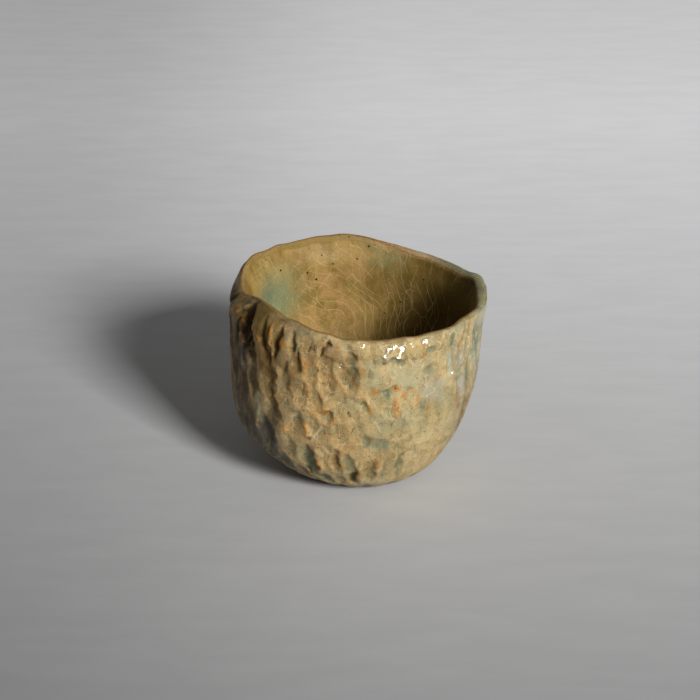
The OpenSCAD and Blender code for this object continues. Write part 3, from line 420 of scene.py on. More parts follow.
class GuinomiColours(bpy.types.PropertyGroup):
    """Colours of the cup's finishes"""
    sand: colour("Sand", "Ash glaze on the raised clay", "D0B47C")
    tan: colour("Tan", "Ash glaze over red sand", "CB9E60")
    sage: colour("Sage", "Ash glaze with more ash in it", "AEA880")
    dun: colour("Dun", "Ash glaze where it is thicker", "A08856")
    # Olive is dark glaze in the cuts and grain, and also painted shade in the hollows and shaded cuts
    olive_and_painted_shade: colour("Olive", "Glaze in the shaded cuts", "573E10")
    # Char is painted shade, near black, in the deepest gouges on the shaded side
    char: colour("Char", "Glaze burnt dark in the deepest gouges", "1A0F06")
    teal: colour("Teal", "Glaze pooled in the hollows", "888D69")
    deep_teal: colour("Deep teal", "Middle of a pool", "67755F")
    rust: colour("Rust", "Glaze broken thin over an edge", "CC862A")
    umber: colour("Umber", "Clay showing at the worn lip", "96601A")
    # Dusk is painted shade and painted reflection of the cool surroundings on the shaded far side
    dusk_shade_and_reflection: colour("Dusk", "Purple-brown flashing on the far side", "5C423C")
    cream: colour("Cream", "Crackle lines and pale grains", "DCC796")
    chalk: colour("Chalk", "Crests where two cuts meet", "EDD6A6")
    iron: colour("Iron", "Iron specks and pinholes", "20140C")
    ochre: colour("Ochre", "Liner glaze", "A28448")
    honey: colour("Honey", "Liner glaze where it is thicker", "7C642C")
    blush: colour("Blush", "Liner glaze over reddened clay", "B08A56")
    # Buff is pale glaze at the back right of the lip, and painted light on the lip of the fold at the left
    buff: colour("Buff", "Pale glaze on the lip at the back right", "C0A078")
    # Straw is pale glaze on the swells, and painted light for the paper's bounce on the lower right
    straw_and_bounce_light: colour("Straw", "Ash glaze on the palest swells", "DDC48E")
    # Frost is a painted reflection of the pale surroundings along the right side
    frost_reflection: colour("Frost", "Ash glaze with a blue-grey bloom", "B2B5AC")
    # Slate is thick dark glaze low on the left, and painted shade near the foot
    slate_and_shade: colour("Slate", "Thick glaze in the shade of the foot", "544F48")
    # Bronze is painted shade where the lip shades the liner's right inner wall
    bronze_shade: colour("Bronze", "Liner glaze in its darkest run", "3A2E0C")
    celadon: colour("Celadon", "Green pool of the liner", "84906B")
    clay: colour("Clay", "Fired stoneware", "6B4B34")
    ember: colour("Ember", "Bare clay turned red by the fire", "83502F")
    soot: colour("Soot", "Dark sand in the bare clay", "35261B")
    paper: colour("Paper", "Seamless paper under the cup", "C9C9C9")


class GuinomiStage(bpy.types.PropertyGroup):
    """Camera and light round the cup"""
    eye_height: angle("Camera elevation", "Angle of the camera over the table", 26)
    eye_distance: length("Camera distance", "From the camera to the middle of the cup", 600.0)
    lamp_turn: angle("Lamp direction", "Degrees round the cup, from +X by way of the back", 302.5)
    lamp_height: angle("Lamp elevation", "Angle of the lamp over the table", 28)
    lamp_distance: length("Lamp distance", "From the lamp to the cup", 2200.0)
    lamp_side: length("Lamp size", "Side of the square soft box", 520.0)
    lamp_power: bpy.props.FloatProperty(name="Lamp power", description="Watts", default=54.5)
    sky: bpy.props.FloatProperty(
        name="Fill", description="Strength of the light from all round", default=0.13)


def through(a, b, c, d, f):
    """Smooth curve through b and c, with a before them and d after, at share f between."""
    return (2 * b + (c - a) * f + (2 * a - 5 * b + 4 * c - d) * f ** 2 + (3 * b - a - 3 * c + d) * f ** 3) / 2


def round_value(table, turn):
    """Value of a table of shares at angles, by a smooth closed curve through it."""
    table = np.asarray(table, float)
    at = np.asarray(turn, float) % 360 / 360 * len(table)
    i = np.floor(at).astype(int)
    return through(*(table[(i + step) % len(table)] for step in (-1, 0, 1, 2)), at - i)


def lofted(values, heights, h):
    """Value at height h between sections, by a smooth curve that passes through each."""
    last = len(heights) - 1
    slopes = []
    for i in range(last + 1):
        low = max(i - 1, 0)
        high = min(i + 1, last)
        slopes.append((values[high] - values[low]) / (heights[high] - heights[low]))
    result = np.zeros(np.broadcast(values[0], h).shape)
    for i in range(last):
        gap = heights[i + 1] - heights[i]
        f = np.clip((h - heights[i]) / gap, 0, 1)
        part = (values[i] * (2 * f ** 3 - 3 * f ** 2 + 1) + slopes[i] * gap * (f ** 3 - 2 * f ** 2 + f)
                + values[i + 1] * (3 * f ** 2 - 2 * f ** 3) + slopes[i + 1] * gap * (f ** 3 - f ** 2))
        inside = (h >= heights[i]) & (h <= heights[i + 1]) if i else h <= heights[1]
        result = np.where(inside, part, result)
    return result


def across(place, height, half_turn, half_length, lean, turn, h):
    """How far angles and heights lie from a mark's middle, in its own half sizes."""
    side = ((turn - place - lean * (h - height) + 180) % 360 - 180) / half_turn
    return side, (h - height) / half_length


def marks(table, turn, h):
    """Sum of patches or lumps at angles and heights: full inside, soft at the rim."""
    total = np.zeros(np.broadcast(turn, h).shape)
    for *mark, strength in table:
        side, along = across(*mark, turn, h)
        total += strength * np.exp(-np.minimum(side ** 2 + along ** 4, 30))
    return total


def scoops(table, turn, h):
    """Depth of the deepest scoop at each place, so that neighbours meet at a ridge."""
    deepest = np.zeros(np.broadcast(turn, h).shape)
    for *mark, depth in table:
        side, along = across(*mark, turn, h)
        deepest = np.maximum(deepest, depth * (1 - side ** 2 - along ** 2))
    return deepest


def lip_height(sizes, turn):
    """Height of the lip over the table."""
    return sizes.lip_height + sizes.lip_rise * round_value(WAVE_SHARES, turn)


def lip_radius(sizes, turn):
    """Radius of the lip's outer side."""
    return sizes.half_width * round_value(LIP_SHARES, turn)


def wall_radius(sizes, turn, h):
    """Outer wall before anything was cut from it."""
    return sizes.half_width * lofted([round_value(t, turn) for t in WALL_SECTIONS], WALL_HEIGHT_SHARES, h)


def bowl_radius(sizes, turn, h):
    """Inner face of the bowl; its top follows the lip."""
    half = sizes.half_width - sizes.belly_wall
    rim = (lip_radius(sizes, turn) - lip_wall(sizes, turn)) / half
    values = [round_value(t, turn) for t in BOWL_SECTIONS] + [rim]
    return half * lofted(values, BOWL_HEIGHT_SHARES + [1], h)


def smooth_noise(shape, cells_round, cells_up, seed):
    """Soft random field from 0 to 1 over a grid that closes on itself round the cup."""
    table = np.random.default_rng(seed).random((cells_up + 4, cells_round))
    rows = np.linspace(0, cells_up, shape[0]) + 1
    row = np.floor(rows).astype(int)
    turned = np.array([round_value(line, TURN) for line in table])
    mixed = through(*(turned[row + step] for step in (-1, 0, 1, 2)), (rows - row)[:, None])
    return np.clip(mixed, 0, 1)


def nicks(shape, cells_round, cells_up, seed):
    """Small random scoops from 0 to 1 deep, one to a cell of a loose grid."""
    rng = np.random.default_rng(seed)
    rows = cells_up + 4
    place = rng.random((rows, cells_round, 2))
    reach = rng.uniform(0.65, 1.15, (rows, cells_round, 2))
    depth = rng.uniform(0.25, 1.0, (rows, cells_round))
    lean = rng.normal(0, 0.35, (rows, cells_round))
    x = (TURN / 360 * cells_round)[None, :]
    y = np.linspace(0, cells_up, shape[0])[:, None] + 1.5
    column = np.floor(x).astype(int)
    row = np.floor(y).astype(int)
    deepest = np.zeros(shape)
    for up in (-1, 0, 1):
        for turned in (-1, 0, 1):
            r = np.clip(row + up, 0, rows - 1) + 0 * column
            c = (column + turned) % cells_round + 0 * row
            dy = y - (row + up) - place[r, c, 1]
            dx = x - (column + turned) - place[r, c, 0] - lean[r, c] * dy
            cut = depth[r, c] * (1 - (dx / reach[r, c, 0]) ** 2 - (dy / reach[r, c, 1]) ** 2)
            deepest = np.maximum(deepest, cut)
    return deepest


def softened(field, steps):
    """A grid field blurred over so many columns and rows; it closes round the cup."""
    reach = int(math.ceil(steps * 2.5))
    weights = np.exp(-(np.arange(-reach, reach + 1) / steps) ** 2 / 2)
    weights /= weights.sum()
    ring = field[:, :-1]
    ring = sum(w * np.roll(ring, s, axis=1) for w, s in zip(weights, range(-reach, reach + 1)))
    padded = np.pad(ring, ((reach, reach), (0, 0)), mode="edge")
    ring = sum(w * padded[i:i + field.shape[0]] for i, w in enumerate(weights))
    return np.concatenate([ring, ring[:, :1]], axis=1)


def smoothstep(low, high, value):
    """Zero below the first limit, one above the second, with a soft rise between."""
    f = np.clip((value - low) / (high - low), 0, 1)
    return f * f * (3 - 2 * f)


def points(turn, radius, height):
    """Grid of points from an angle, a radius and a height for each."""
    way = np.radians(turn)
    return np.stack(np.broadcast_arrays(radius * np.cos(way), radius * np.sin(way), height), -1)


def outer_wall(sizes):
    """The glazed outer wall: its points, and masks of where glaze pools and breaks."""
    turn = TURN[None, :]
    h = np.linspace(0, 1, WALL_ROWS)[:, None] ** ROW_POWER * WALL_TOP_SHARE
    shape = (WALL_ROWS, COLUMNS + 1)
    base = wall_radius(sizes, turn, h)

    # Cuts in coarse clay tear at their edges, so they are read at places a little astray
    astray = 1.8 * (smooth_noise(shape, 66, 15, 15) - 0.5) + 1.4 * (smooth_noise(shape, 170, 40, 16) - 0.5)
    torn_turn = turn + astray
    torn_h = h + 0.022 * (smooth_noise(shape, 66, 15, 17) - 0.5)
    torn_h = torn_h + 0.018 * (smooth_noise(shape, 170, 40, 18) - 0.5)
    frayed_turn = turn + 0.4 * astray

    # The band under the front lip and the right side are less broken than the rest
    calm = 0.75 * smoothstep(0.68, 0.80, h) * smoothstep(266, 276, turn) * (1 - smoothstep(318, 332, turn))
    calm = np.clip(calm + 0.35 * smoothstep(270, 300, turn) * (1 - smoothstep(345, 360, turn)), 0, 0.85)
    fade = (0.5 + 0.5 * smoothstep(0, 0.03, h)) * (1 - 0.6 * smoothstep(0.955, 0.985, h))
    cut = scoops(SCOOP_SHARES, torn_turn, torn_h) - marks(LUMP_SHARES, torn_turn, torn_h)
    cut = sizes.carving * softened(cut, 0.35) * (0.88 + 0.12 * smoothstep(0.35, 0.55, h))
    crests = smoothstep(0.35, 1.1, marks(CREST_SHARES, frayed_turn, h))
    cracks = smoothstep(0.20, 0.9, marks(CRACK_SHARES, frayed_turn, h))
    drawn = np.clip(marks(SCRATCH_SHARES, turn, h), 0, 1)
    rough = (1 - calm) * (0.25 + 0.75 * smoothstep(0.35, 0.62, smooth_noise(shape, 26, 6, 24)))
    chipped = 1.2 * nicks(shape, 46, 9, 11) - 0.5 * nicks(shape, 64, 12, 19)
    chipped = chipped + 0.4 * nicks(shape, 120, 26, 12) - 0.3 * nicks(shape, 152, 34, 20)
    cut = cut + sizes.chips * (rough * chipped + drawn * 0.8 * nicks(shape, 120, 7, 23))
    cut = cut + sizes.grit * (smooth_noise(shape, 280, 84, 13) - 0.5) * (1 - 0.6 * calm)
    cut = cut + sizes.grit * (2 * cracks - crests)
    radius = np.minimum(base - cut * fade, sizes.half_width * WIDEST_SHARE)
    base_z = CAD_BOX[0][2] + foot_height()
    z = base_z + (lip_height(sizes, turn) - base_z) * h

    # Glaze pools below the wall's smoothed face and breaks on what stands proud of it
    pool = smoothstep(0.03 * MM, 0.40 * MM, softened(radius, 5.0) - radius)
    broken = smoothstep(0.05 * MM, 0.20 * MM, radius - softened(radius, 2.0))
    gloss = smoothstep(268, 284, turn) * (1 - smoothstep(345, 360, turn)) * smoothstep(0.45, 0.80, h)
    gloss = np.maximum(gloss, smoothstep(0.955, 0.99, h) * round_value(GLOSS_LIP_SHARES, turn))
    warm = np.clip(marks(WARM_PATCH_SHARES, turn, h), 0, 1)
    # Painted shade: the deepest gouges on the left are drawn near black through the deep mask
    gouged = smoothstep(1.6 * MM, 2.6 * MM, cut) * (1 - smoothstep(246, 262, turn)) * smoothstep(0.5, 0.7, h)
    masks = {name: marks(table, torn_turn, torn_h) for name, table in PATCH_SHARES.items()}
    for name, clear, full in (("teal", 0.08, 0.95), ("rust", 0.15, 0.6), ("wet_glint", 0.25, 0.6)):
        masks[name] = smoothstep(clear, full, masks[name])
    masks["deep"] = np.maximum(gouged, masks["deep"])
    masks.update(
        # The shade mask is the pool mask again, used for painted shade in the hollows
        pool=pool * (1 - 0.75 * warm), shade=pool, broken=broken, crest=crests, crack=cracks,
        lapped=marks(LAPPED_PATCH_SHARES, torn_turn, h), gloss=gloss, drawn=drawn, warm=warm)
    return points(turn, radius, z), radius, z, masks


def foot_height():
    """Height of the wall's lower edge, where the foot ring meets it."""
    low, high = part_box("foot_ring")
    return high[2] - low[2]


def lip_rows(sizes, wobble):
    """The round top of the lip, from its outer side to its inner edge."""
    turn = TURN[None, :]
    swing = np.linspace(0.12, 1, LIP_ROWS)[:, None] * math.pi
    half = lip_wall(sizes, turn) / 2
    radius = lip_radius(sizes, turn) - half + half * np.cos(swing)
    drop = sizes.lip_wall * LIP_ROUND_SHARE
    z = lip_height(sizes, turn) - drop + drop * np.sin(swing)
    across_lip = np.linspace(0, 1, LIP_ROWS)[:, None]
    return radius + wobble[0], z + wobble[1] - lip_slant(turn) * across_lip ** 1.5


def lip_wall(sizes, turn):
    """Thickness of the lip, glazes and all."""
    return sizes.lip_wall * round_value(LIP_WALL_SHARES, turn)


def lip_slant(turn):
    """How much lower the lip's inner edge lies than its outer one."""
    return round_value(SLANT_LIP_SHARES, turn) * 1.5 * MM


def lip_wobble():
    """The lip's small unevenness, sideways and up, the same for both coats."""
    side = smooth_noise((1, COLUMNS + 1), 40, 1, 21) - 0.5
    rise = smooth_noise((1, COLUMNS + 1), 52, 1, 22) - 0.5
    return side * 0.5 * MM, rise * 0.6 * MM - 0.2 * MM


def coat_under(radius, sizes, rows):
    """Hidden side of a coat: the lowest face round each place, less the glaze."""
    lowest = radius
    for shift in (-4, -2, 2, 4):
        lowest = np.minimum(lowest, np.roll(radius[:, :-1], shift, axis=1)[:, np.r_[0:COLUMNS, 0]])
    reach = 6
    padded = np.pad(lowest, ((reach, reach), (0, 0)), mode="edge")
    lowest = np.min([padded[i:i + radius.shape[0]] for i in range(2 * reach + 1)], axis=0)
    picked = np.linspace(0, radius.shape[0] - 1, rows).round().astype(int)
    return softened(lowest, 2.0)[picked] - sizes.glaze, picked


def bowl_face(sizes, wobble):
    """The glazed face of the bowl, from its rim down to the middle of the floor."""
    turn = TURN[None, :]
    h = np.linspace(1, 0, BOWL_ROWS)[:, None] ** 1.15
    shape = (BOWL_ROWS, COLUMNS + 1)
    start = BOWL_HEIGHT_SHARES[0]
    radius = np.where(
        h > start, bowl_radius(sizes, turn, np.maximum(h, start)),
        bowl_radius(sizes, turn, np.full((1, 1), start)) * np.sqrt(np.clip(h / start, 0, 1)))
    swell = softened(smooth_noise(shape, 18, 6, 31), 3.0) - 0.5
    radius = radius + swell * 0.7 * MM * smoothstep(0.02, 0.2, h) * (1 - smoothstep(0.9, 1.0, h))
    floor_z = CAD_BOX[0][2] + foot_height() + sizes.floor_wall
    rim_z = lip_height(sizes, turn) - sizes.lip_wall * LIP_ROUND_SHARE
    z = floor_z + (rim_z - lip_slant(turn) - floor_z) * h
    follow = smoothstep(0.93, 1.0, h)
    return radius + wobble[0] * follow, z + wobble[1] * follow, h + 0 * turn


def behind(face, picked, depth):
    """Picked rows of the bowl's face, this far behind it; at the floor they lie under it."""
    radius, z, h = (values[picked] for values in face)
    sink = depth * np.clip(1 - h / BOWL_HEIGHT_SHARES[1], 0, 1)
    return (radius + depth) * (h > 0), z - sink


def dots_on(place, table):
    """Dots of a table, each at the nearest point of the wall's grid."""
    dots = []
    for turned, height, radius in table:
        row = round((height / WALL_TOP_SHARE) ** (1 / ROW_POWER) * (WALL_ROWS - 1))
        dots.append((tuple(place[row, round(turned / 360 * COLUMNS)]), radius))
    return dots


def rolled_grid(name, place, masks):
    """A flat grid primitive, rolled and sculpted to the points given for its rows."""
    rows, columns = place.shape[:2]
    bpy.ops.object.select_all(action="DESELECT")
    bpy.ops.mesh.primitive_grid_add(x_subdivisions=columns - 1, y_subdivisions=rows - 1, size=1)
    piece = bpy.context.object
    piece.name = name
    mesh = piece.data
    mesh.name = name
    mesh.vertices.foreach_set("co", place.reshape(-1).astype(np.float32))
    for mask, values in masks.items():
        layer = mesh.attributes.new(mask, "FLOAT", "POINT")
        layer.data.foreach_set("value", np.clip(values, 0, 1).reshape(-1).astype(np.float32))
    mesh.update()
    bpy.ops.object.mode_set(mode="EDIT")
    bpy.ops.mesh.select_all(action="SELECT")
    bpy.ops.mesh.remove_doubles(threshold=0.002 * MM)
    bpy.ops.mesh.delete_loose()
    bpy.ops.mesh.select_all(action="SELECT")
    bpy.ops.mesh.normals_make_consistent(inside=False)
    bpy.ops.object.mode_set(mode="OBJECT")
    bpy.ops.object.shade_smooth_by_angle(angle=math.radians(80))
    for layer in list(mesh.uv_layers):
        mesh.uv_layers.remove(layer)
    return piece


def stands_for(piece, node, material):
    """Gives a piece its finish and the solid that it stands for."""
    piece.data.materials.clear()
    piece.data.materials.append(material)
    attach(piece, "root")
    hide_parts(node)


def node(tree, kind, sockets=None, **settings):
    """Adds a node with its settings, and links or sets its input sockets."""
    made = tree.nodes.new(kind)
    for name, value in settings.items():
        setattr(made, name, value)
    for socket, value in (sockets or {}).items():
        if isinstance(value, bpy.types.NodeSocket):
            tree.links.new(value, made.inputs[socket])
        else:
            made.inputs[socket].default_value = value
    return made


def finish(name):
    """A new material with its Principled shader, its tree and the Object coordinates."""
    material = bpy.data.materials.new(name)
    material.use_nodes = True
    tree = material.node_tree
    shader = tree.nodes["Principled BSDF"]
    where = node(tree, "ShaderNodeTexCoord").outputs["Object"]
    return material, tree, shader, where


def per(millimetres):
    """Scale of a pattern on Object coordinates whose features are this far apart."""
    return 1 / (millimetres * MM)


def mottled(tree, where, millimetres, clear, full, most=1.0, detail=4.0, rough=0.6):
    """Cloudy patches this far apart: none where the pattern reads clear, most at full."""
    fog = node(tree, "ShaderNodeTexNoise", {
        "Vector": where, "Scale": per(millimetres), "Detail": detail, "Roughness": rough}).outputs["Fac"]
    return node(tree, "ShaderNodeMapRange", {
        "Value": fog, "From Min": clear, "From Max": full, "To Min": 0.0, "To Max": most},
        interpolation_type="SMOOTHSTEP").outputs["Result"]


def layered(tree, base, layers):
    """Colours laid over a base in turn, each as strongly as the product of its shares."""
    for coat, *shares in layers:
        strength = shares[0]
        for share in shares[1:]:
            strength = node(tree, "ShaderNodeMath", {0: strength, 1: share},
                            operation="MULTIPLY", use_clamp=True).outputs[0]
        base = node(tree, "ShaderNodeMix", {0: strength, 6: base, 7: coat}, data_type="RGBA").outputs[2]
    return base


def dotted(tree, where, dots, soft):
    """Round dots, each a place and a radius in millimetres: one inside, zero off them."""
    total = 0.0
    for place, radius in dots:
        gap = node(tree, "ShaderNodeVectorMath", {0: where, 1: place}, operation="DISTANCE").outputs["Value"]
        dot = node(tree, "ShaderNodeMapRange", {
            "Value": gap, "From Min": radius * (1 - soft) * MM, "From Max": radius * MM,
            "To Min": 1.0, "To Max": 0.0}, interpolation_type="SMOOTHSTEP").outputs["Result"]
        total = node(tree, "ShaderNodeMath", {0: total, 1: dot}, operation="MAXIMUM").outputs[0]
    return total


def crackle(tree, where, millimetres, line, bend):
    """Thin lines of crazing: the borders of bent cells, one on a line, zero off it."""
    wander = node(tree, "ShaderNodeTexNoise", {
        "Vector": where, "Scale": per(millimetres * 2.4), "Detail": 1.0}).outputs["Color"]
    moved = node(tree, "ShaderNodeVectorMath", {0: wander, 1: (bend * MM,) * 3, 2: where},
                 operation="MULTIPLY_ADD").outputs[0]
    cells = node(tree, "ShaderNodeTexVoronoi", {"Vector": moved, "Scale": per(millimetres)},
                 feature="DISTANCE_TO_EDGE").outputs["Distance"]
    return node(tree, "ShaderNodeMapRange", {
        "Value": cells, "From Min": 0.0, "From Max": line / millimetres, "To Min": 1.0, "To Max": 0.0},
        interpolation_type="SMOOTHSTEP").outputs["Result"]


def flaked(tree, where, millimetres):
    """Small flat faces, each tilted its own way like broken stone: their height, and the
    lines of their borders."""
    frayed = node(tree, "ShaderNodeTexNoise", {
        "Vector": where, "Scale": per(millimetres * 1.1), "Detail": 3.0}).outputs["Color"]
    moved = node(tree, "ShaderNodeVectorMath", {0: frayed, 1: (millimetres * 0.9 * MM,) * 3, 2: where},
                 operation="MULTIPLY_ADD").outputs[0]
    cell = node(tree, "ShaderNodeTexVoronoi", {"Vector": moved, "Scale": per(millimetres)}).outputs
    tilt = node(tree, "ShaderNodeVectorMath", {0: cell["Color"], 1: (0.5,) * 3},
                operation="SUBTRACT").outputs[0]
    inside = node(tree, "ShaderNodeVectorMath", {0: moved, 1: cell["Position"]},
                  operation="SUBTRACT").outputs[0]
    height = node(tree, "ShaderNodeVectorMath", {0: tilt, 1: inside},
                  operation="DOT_PRODUCT").outputs["Value"]
    edge = node(tree, "ShaderNodeTexVoronoi", {"Vector": moved, "Scale": per(millimetres)},
                feature="DISTANCE_TO_EDGE").outputs["Distance"]
    rim = node(tree, "ShaderNodeMapRange", {
        "Value": edge, "From Min": 0.0, "From Max": 0.12 / millimetres, "To Min": 1.0, "To Max": 0.0},
        interpolation_type="SMOOTHSTEP").outputs["Result"]
    return height, rim


def strands(tree, where, slant, millimetres, line, bend):
    """Long cracks roughly side by side, so many degrees off the upright: one on a line."""
    sway = node(tree, "ShaderNodeTexNoise", {"Vector": where, "Scale": per(20), "Detail": 1.5}).outputs["Fac"]
    way = (math.cos(math.radians(slant)), 0.0, math.sin(math.radians(slant)))
    place = node(tree, "ShaderNodeVectorMath", {0: where, 1: way}, operation="DOT_PRODUCT").outputs["Value"]
    place = node(tree, "ShaderNodeMath", {0: sway, 1: bend * MM, 2: place},
                 operation="MULTIPLY_ADD").outputs[0]
    gap = node(tree, "ShaderNodeTexVoronoi", {"W": place, "Scale": per(millimetres)},
               voronoi_dimensions="1D", feature="DISTANCE_TO_EDGE").outputs["Distance"]
    return node(tree, "ShaderNodeMapRange", {
        "Value": gap, "From Min": 0.0, "From Max": line / millimetres, "To Min": 1.0, "To Max": 0.0},
        interpolation_type="SMOOTHSTEP").outputs["Result"]


def ash_glaze(colours, pinholes, glint_beads):
    """Ash glaze over carved stoneware, poured and wood-fired: sandy and grained where it
    lies thin, grey-green where it pooled, orange-brown where it broke over an edge."""
    material, tree, shader, where = finish("ash_glaze_on_carved_stoneware")
    lies = {name: node(tree, "ShaderNodeAttribute", attribute_name=name).outputs["Fac"]
            for name in GLAZE_MASKS}
    upright = node(tree, "ShaderNodeMapping", {"Vector": where, "Scale": (1, 1, 0.45)}).outputs[0]
    streaks = node(tree, "ShaderNodeMapping", {"Vector": where, "Scale": (1, 1, 0.12)}).outputs[0]
    cloud = partial(mottled, tree, where)
    run = partial(mottled, tree, upright)
    streak = partial(mottled, tree, streaks)
    broad, broad_rim = flaked(tree, upright, 3.6)
    small, small_rim = flaked(tree, upright, 1.3)
    grainy = cloud(4.5, 0.36, 0.60, detail=2.0)
    dry_part = node(tree, "ShaderNodeMath", {0: 1.0, 1: lies["gloss"]}, operation="SUBTRACT").outputs[0]

    base = layered(tree, colours.dun, [
        # The coat's own colours, drawn down the wall as it ran, with painted light and painted shade among
        # them
        (colours.sand, run(3.2, 0.34, 0.62)),
        (colours.sage, cloud(6.5, 0.46, 0.62, 0.8)),
        (colours.tan, lies["warm"], cloud(2.0, 0.34, 0.60, 0.9)),
        (colours.dun, cloud(2.0, 0.49, 0.36, 0.5, rough=0.7)),
        # Straw on the pale swells, and painted light for the paper's bounce on the lower right
        (colours.straw_and_bounce_light, lies["pale"], cloud(2.4, 0.32, 0.56, 0.9)),
        # Painted shade: olive darkens the hollows
        (colours.olive_and_painted_shade, lies["shade"], cloud(1.6, 0.38, 0.62, 0.42)),
        # Thick in the hollows, thin on the ridges
        (colours.teal, lies["pool"], cloud(5.0, 0.40, 0.58), 0.75),
        (colours.cream, lies["broken"], cloud(1.2, 0.40, 0.62, 0.45)),
        # The grain of the sand under it, one to three tenths of a millimetre in the real
        # cup and drawn coarser here to show
        (colours.olive_and_painted_shade, grainy, cloud(GRAIN_MM, 0.52, 0.66, 0.9, rough=0.9)),
        (colours.cream, grainy, cloud(GRAIN_MM, 0.48, 0.34, 0.9, rough=0.9)),
        # Pale or dark rims of the flakes, a little crazing, crests and cracks
        (colours.cream, broad_rim, cloud(4.0, 0.46, 0.56, 0.75, detail=2.0)),
        (colours.olive_and_painted_shade, broad_rim, cloud(4.0, 0.46, 0.36, 0.3, detail=2.0)),
        (colours.olive_and_painted_shade, small_rim, dry_part, cloud(3.0, 0.54, 0.62, 0.4)),
        (colours.cream, crackle(tree, where, 5.5, 0.13, 6.0), cloud(5.0, 0.44, 0.56, 0.8, detail=2.0)),
        (colours.chalk, lies["crest"], cloud(1.5, 0.30, 0.56, 0.8)),
        (colours.olive_and_painted_shade, lies["crack"], 0.85),
        # Where the wall shows a colour of its own, with painted shade and painted reflection among them
        # Painted shade and painted reflection, purple-brown, on the shaded far side
        (colours.dusk_shade_and_reflection, lies["dusk_shade_and_reflection"], run(2.6, 0.22, 0.55, 0.85)),
        # Painted shade: dark olive in the shaded cuts
        (colours.olive_and_painted_shade, lies["olive_and_painted_shade"], run(2.0, 0.22, 0.48, 0.95)),
        # Thick dark glaze and painted shade near the foot
        (colours.slate_and_shade, lies["slate_and_shade"], run(2.6, 0.26, 0.50, 0.9)),
        # Painted reflection, blue-grey, along the right side
        (colours.frost_reflection, lies["frost_reflection"], streak(1.6, 0.34, 0.54, 0.9)),
        (colours.teal, lies["teal"], run(1.5, 0.30, 0.55, 0.9)),
        (colours.deep_teal, lies["teal"], lies["teal"], run(1.1, 0.40, 0.62, 0.85)),
        (colours.honey, lies["lapped"], run(2.0, 0.20, 0.50, 0.8)),
        (colours.rust, lies["broken"], cloud(1.7, 0.55, 0.60), 0.85),
        (colours.rust, lies["rust"], cloud(0.9, 0.44, 0.52, rough=0.75)),
        # Painted shade, near black, in the deepest gouges
        (colours.char, lies["deep"], streak(1.2, 0.30, 0.56, 0.95)),
        # The lip, lapped by the liner and worn to the clay along a line
        (colours.ochre, lies["lip_ochre"]),
        # Buff on the lip: pale glaze at the back right, painted light on the fold at the left
        (colours.buff, lies["lip_buff_and_light"], cloud(3.0, 0.30, 0.50, 0.9)),
        (colours.teal, lies["lip_green"], cloud(3.0, 0.30, 0.50, 0.9)),
        (colours.umber, lies["lip_line"], cloud(2.4, 0.28, 0.46)),
        # Iron dots, scattered and placed
        (colours.iron, cloud(1.3, 0.76, 0.80, 0.9, detail=1.0)),
        (colours.iron, dotted(tree, where, pinholes, 0.5))])
    tree.links.new(base, shader.inputs["Base Color"])

    # Glossy under the lip and to the right, dry with sand elsewhere
    dry, shine, relief = (
        node(tree, "ShaderNodeMapRange", {
            "Value": lies["gloss"], "To Min": at_dry, "To Max": at_gloss}).outputs[0]
        for at_dry, at_gloss in ((0.34, 0.10), (0.22, 0.5), (1.0, 0.7)))
    rough = node(tree, "ShaderNodeMath", {0: dry, 1: cloud(3.0, 0.40, 0.65, 0.14)},
                 operation="ADD").outputs[0]
    tree.links.new(rough, shader.inputs["Roughness"])
    shader.inputs["IOR"].default_value = 1.5
    tree.links.new(shine, shader.inputs["Specular IOR Level"])

    # Relief too fine for the mesh: lumps, flakes, sand, and combing where the wall was
    # scratched. A flake's height is a length already, so its depth is a plain share
    lumpy, sandy, combed = (
        node(tree, "ShaderNodeTexNoise", {
            "Vector": along, "Scale": per(millimetres), "Detail": detail, "Roughness": coarse}).outputs["Fac"]
        for along, millimetres, detail, coarse in (
            (where, 1.2, 4.0, 0.7), (where, 0.3, 2.0, 0.85), (streaks, 0.8, 3.0, 0.6)))
    under = {}
    for height, strength, depth in (
            (lumpy, relief, 0.08 * MM), (broad, relief, 0.36), (small, cloud(5.0, 0.42, 0.58, 0.9), 0.32),
            (sandy, relief, 0.40 * MM), (combed, lies["drawn"], 0.35 * MM)):
        bump = node(tree, "ShaderNodeBump", {
            "Height": height, "Strength": strength, "Distance": depth, **under}).outputs[0]
        under = {"Normal": bump}
    tree.links.new(bump, shader.inputs["Normal"])

    # A clear coat on the wet glaze and its beads, whose own face is turned up and to the right, half way
    # between the lamp and the camera: it gives the small white glints as painted highlights
    runs = node(tree, "ShaderNodeMath", {0: lies["wet_glint"], 1: run(0.5, 0.34, 0.52)},
                operation="MULTIPLY").outputs[0]
    runs = node(tree, "ShaderNodeMath", {0: runs, 1: dotted(tree, where, glint_beads, 0.6)},
                operation="MAXIMUM").outputs[0]
    facing = node(tree, "ShaderNodeMix", {0: runs, 4: bump, 5: GLINT_WAY}, data_type="VECTOR").outputs[1]
    tree.links.new(facing, shader.inputs["Coat Normal"])
    tree.links.new(runs, shader.inputs["Coat Weight"])
    shader.inputs["Coat Roughness"].default_value = 0.10
    return material


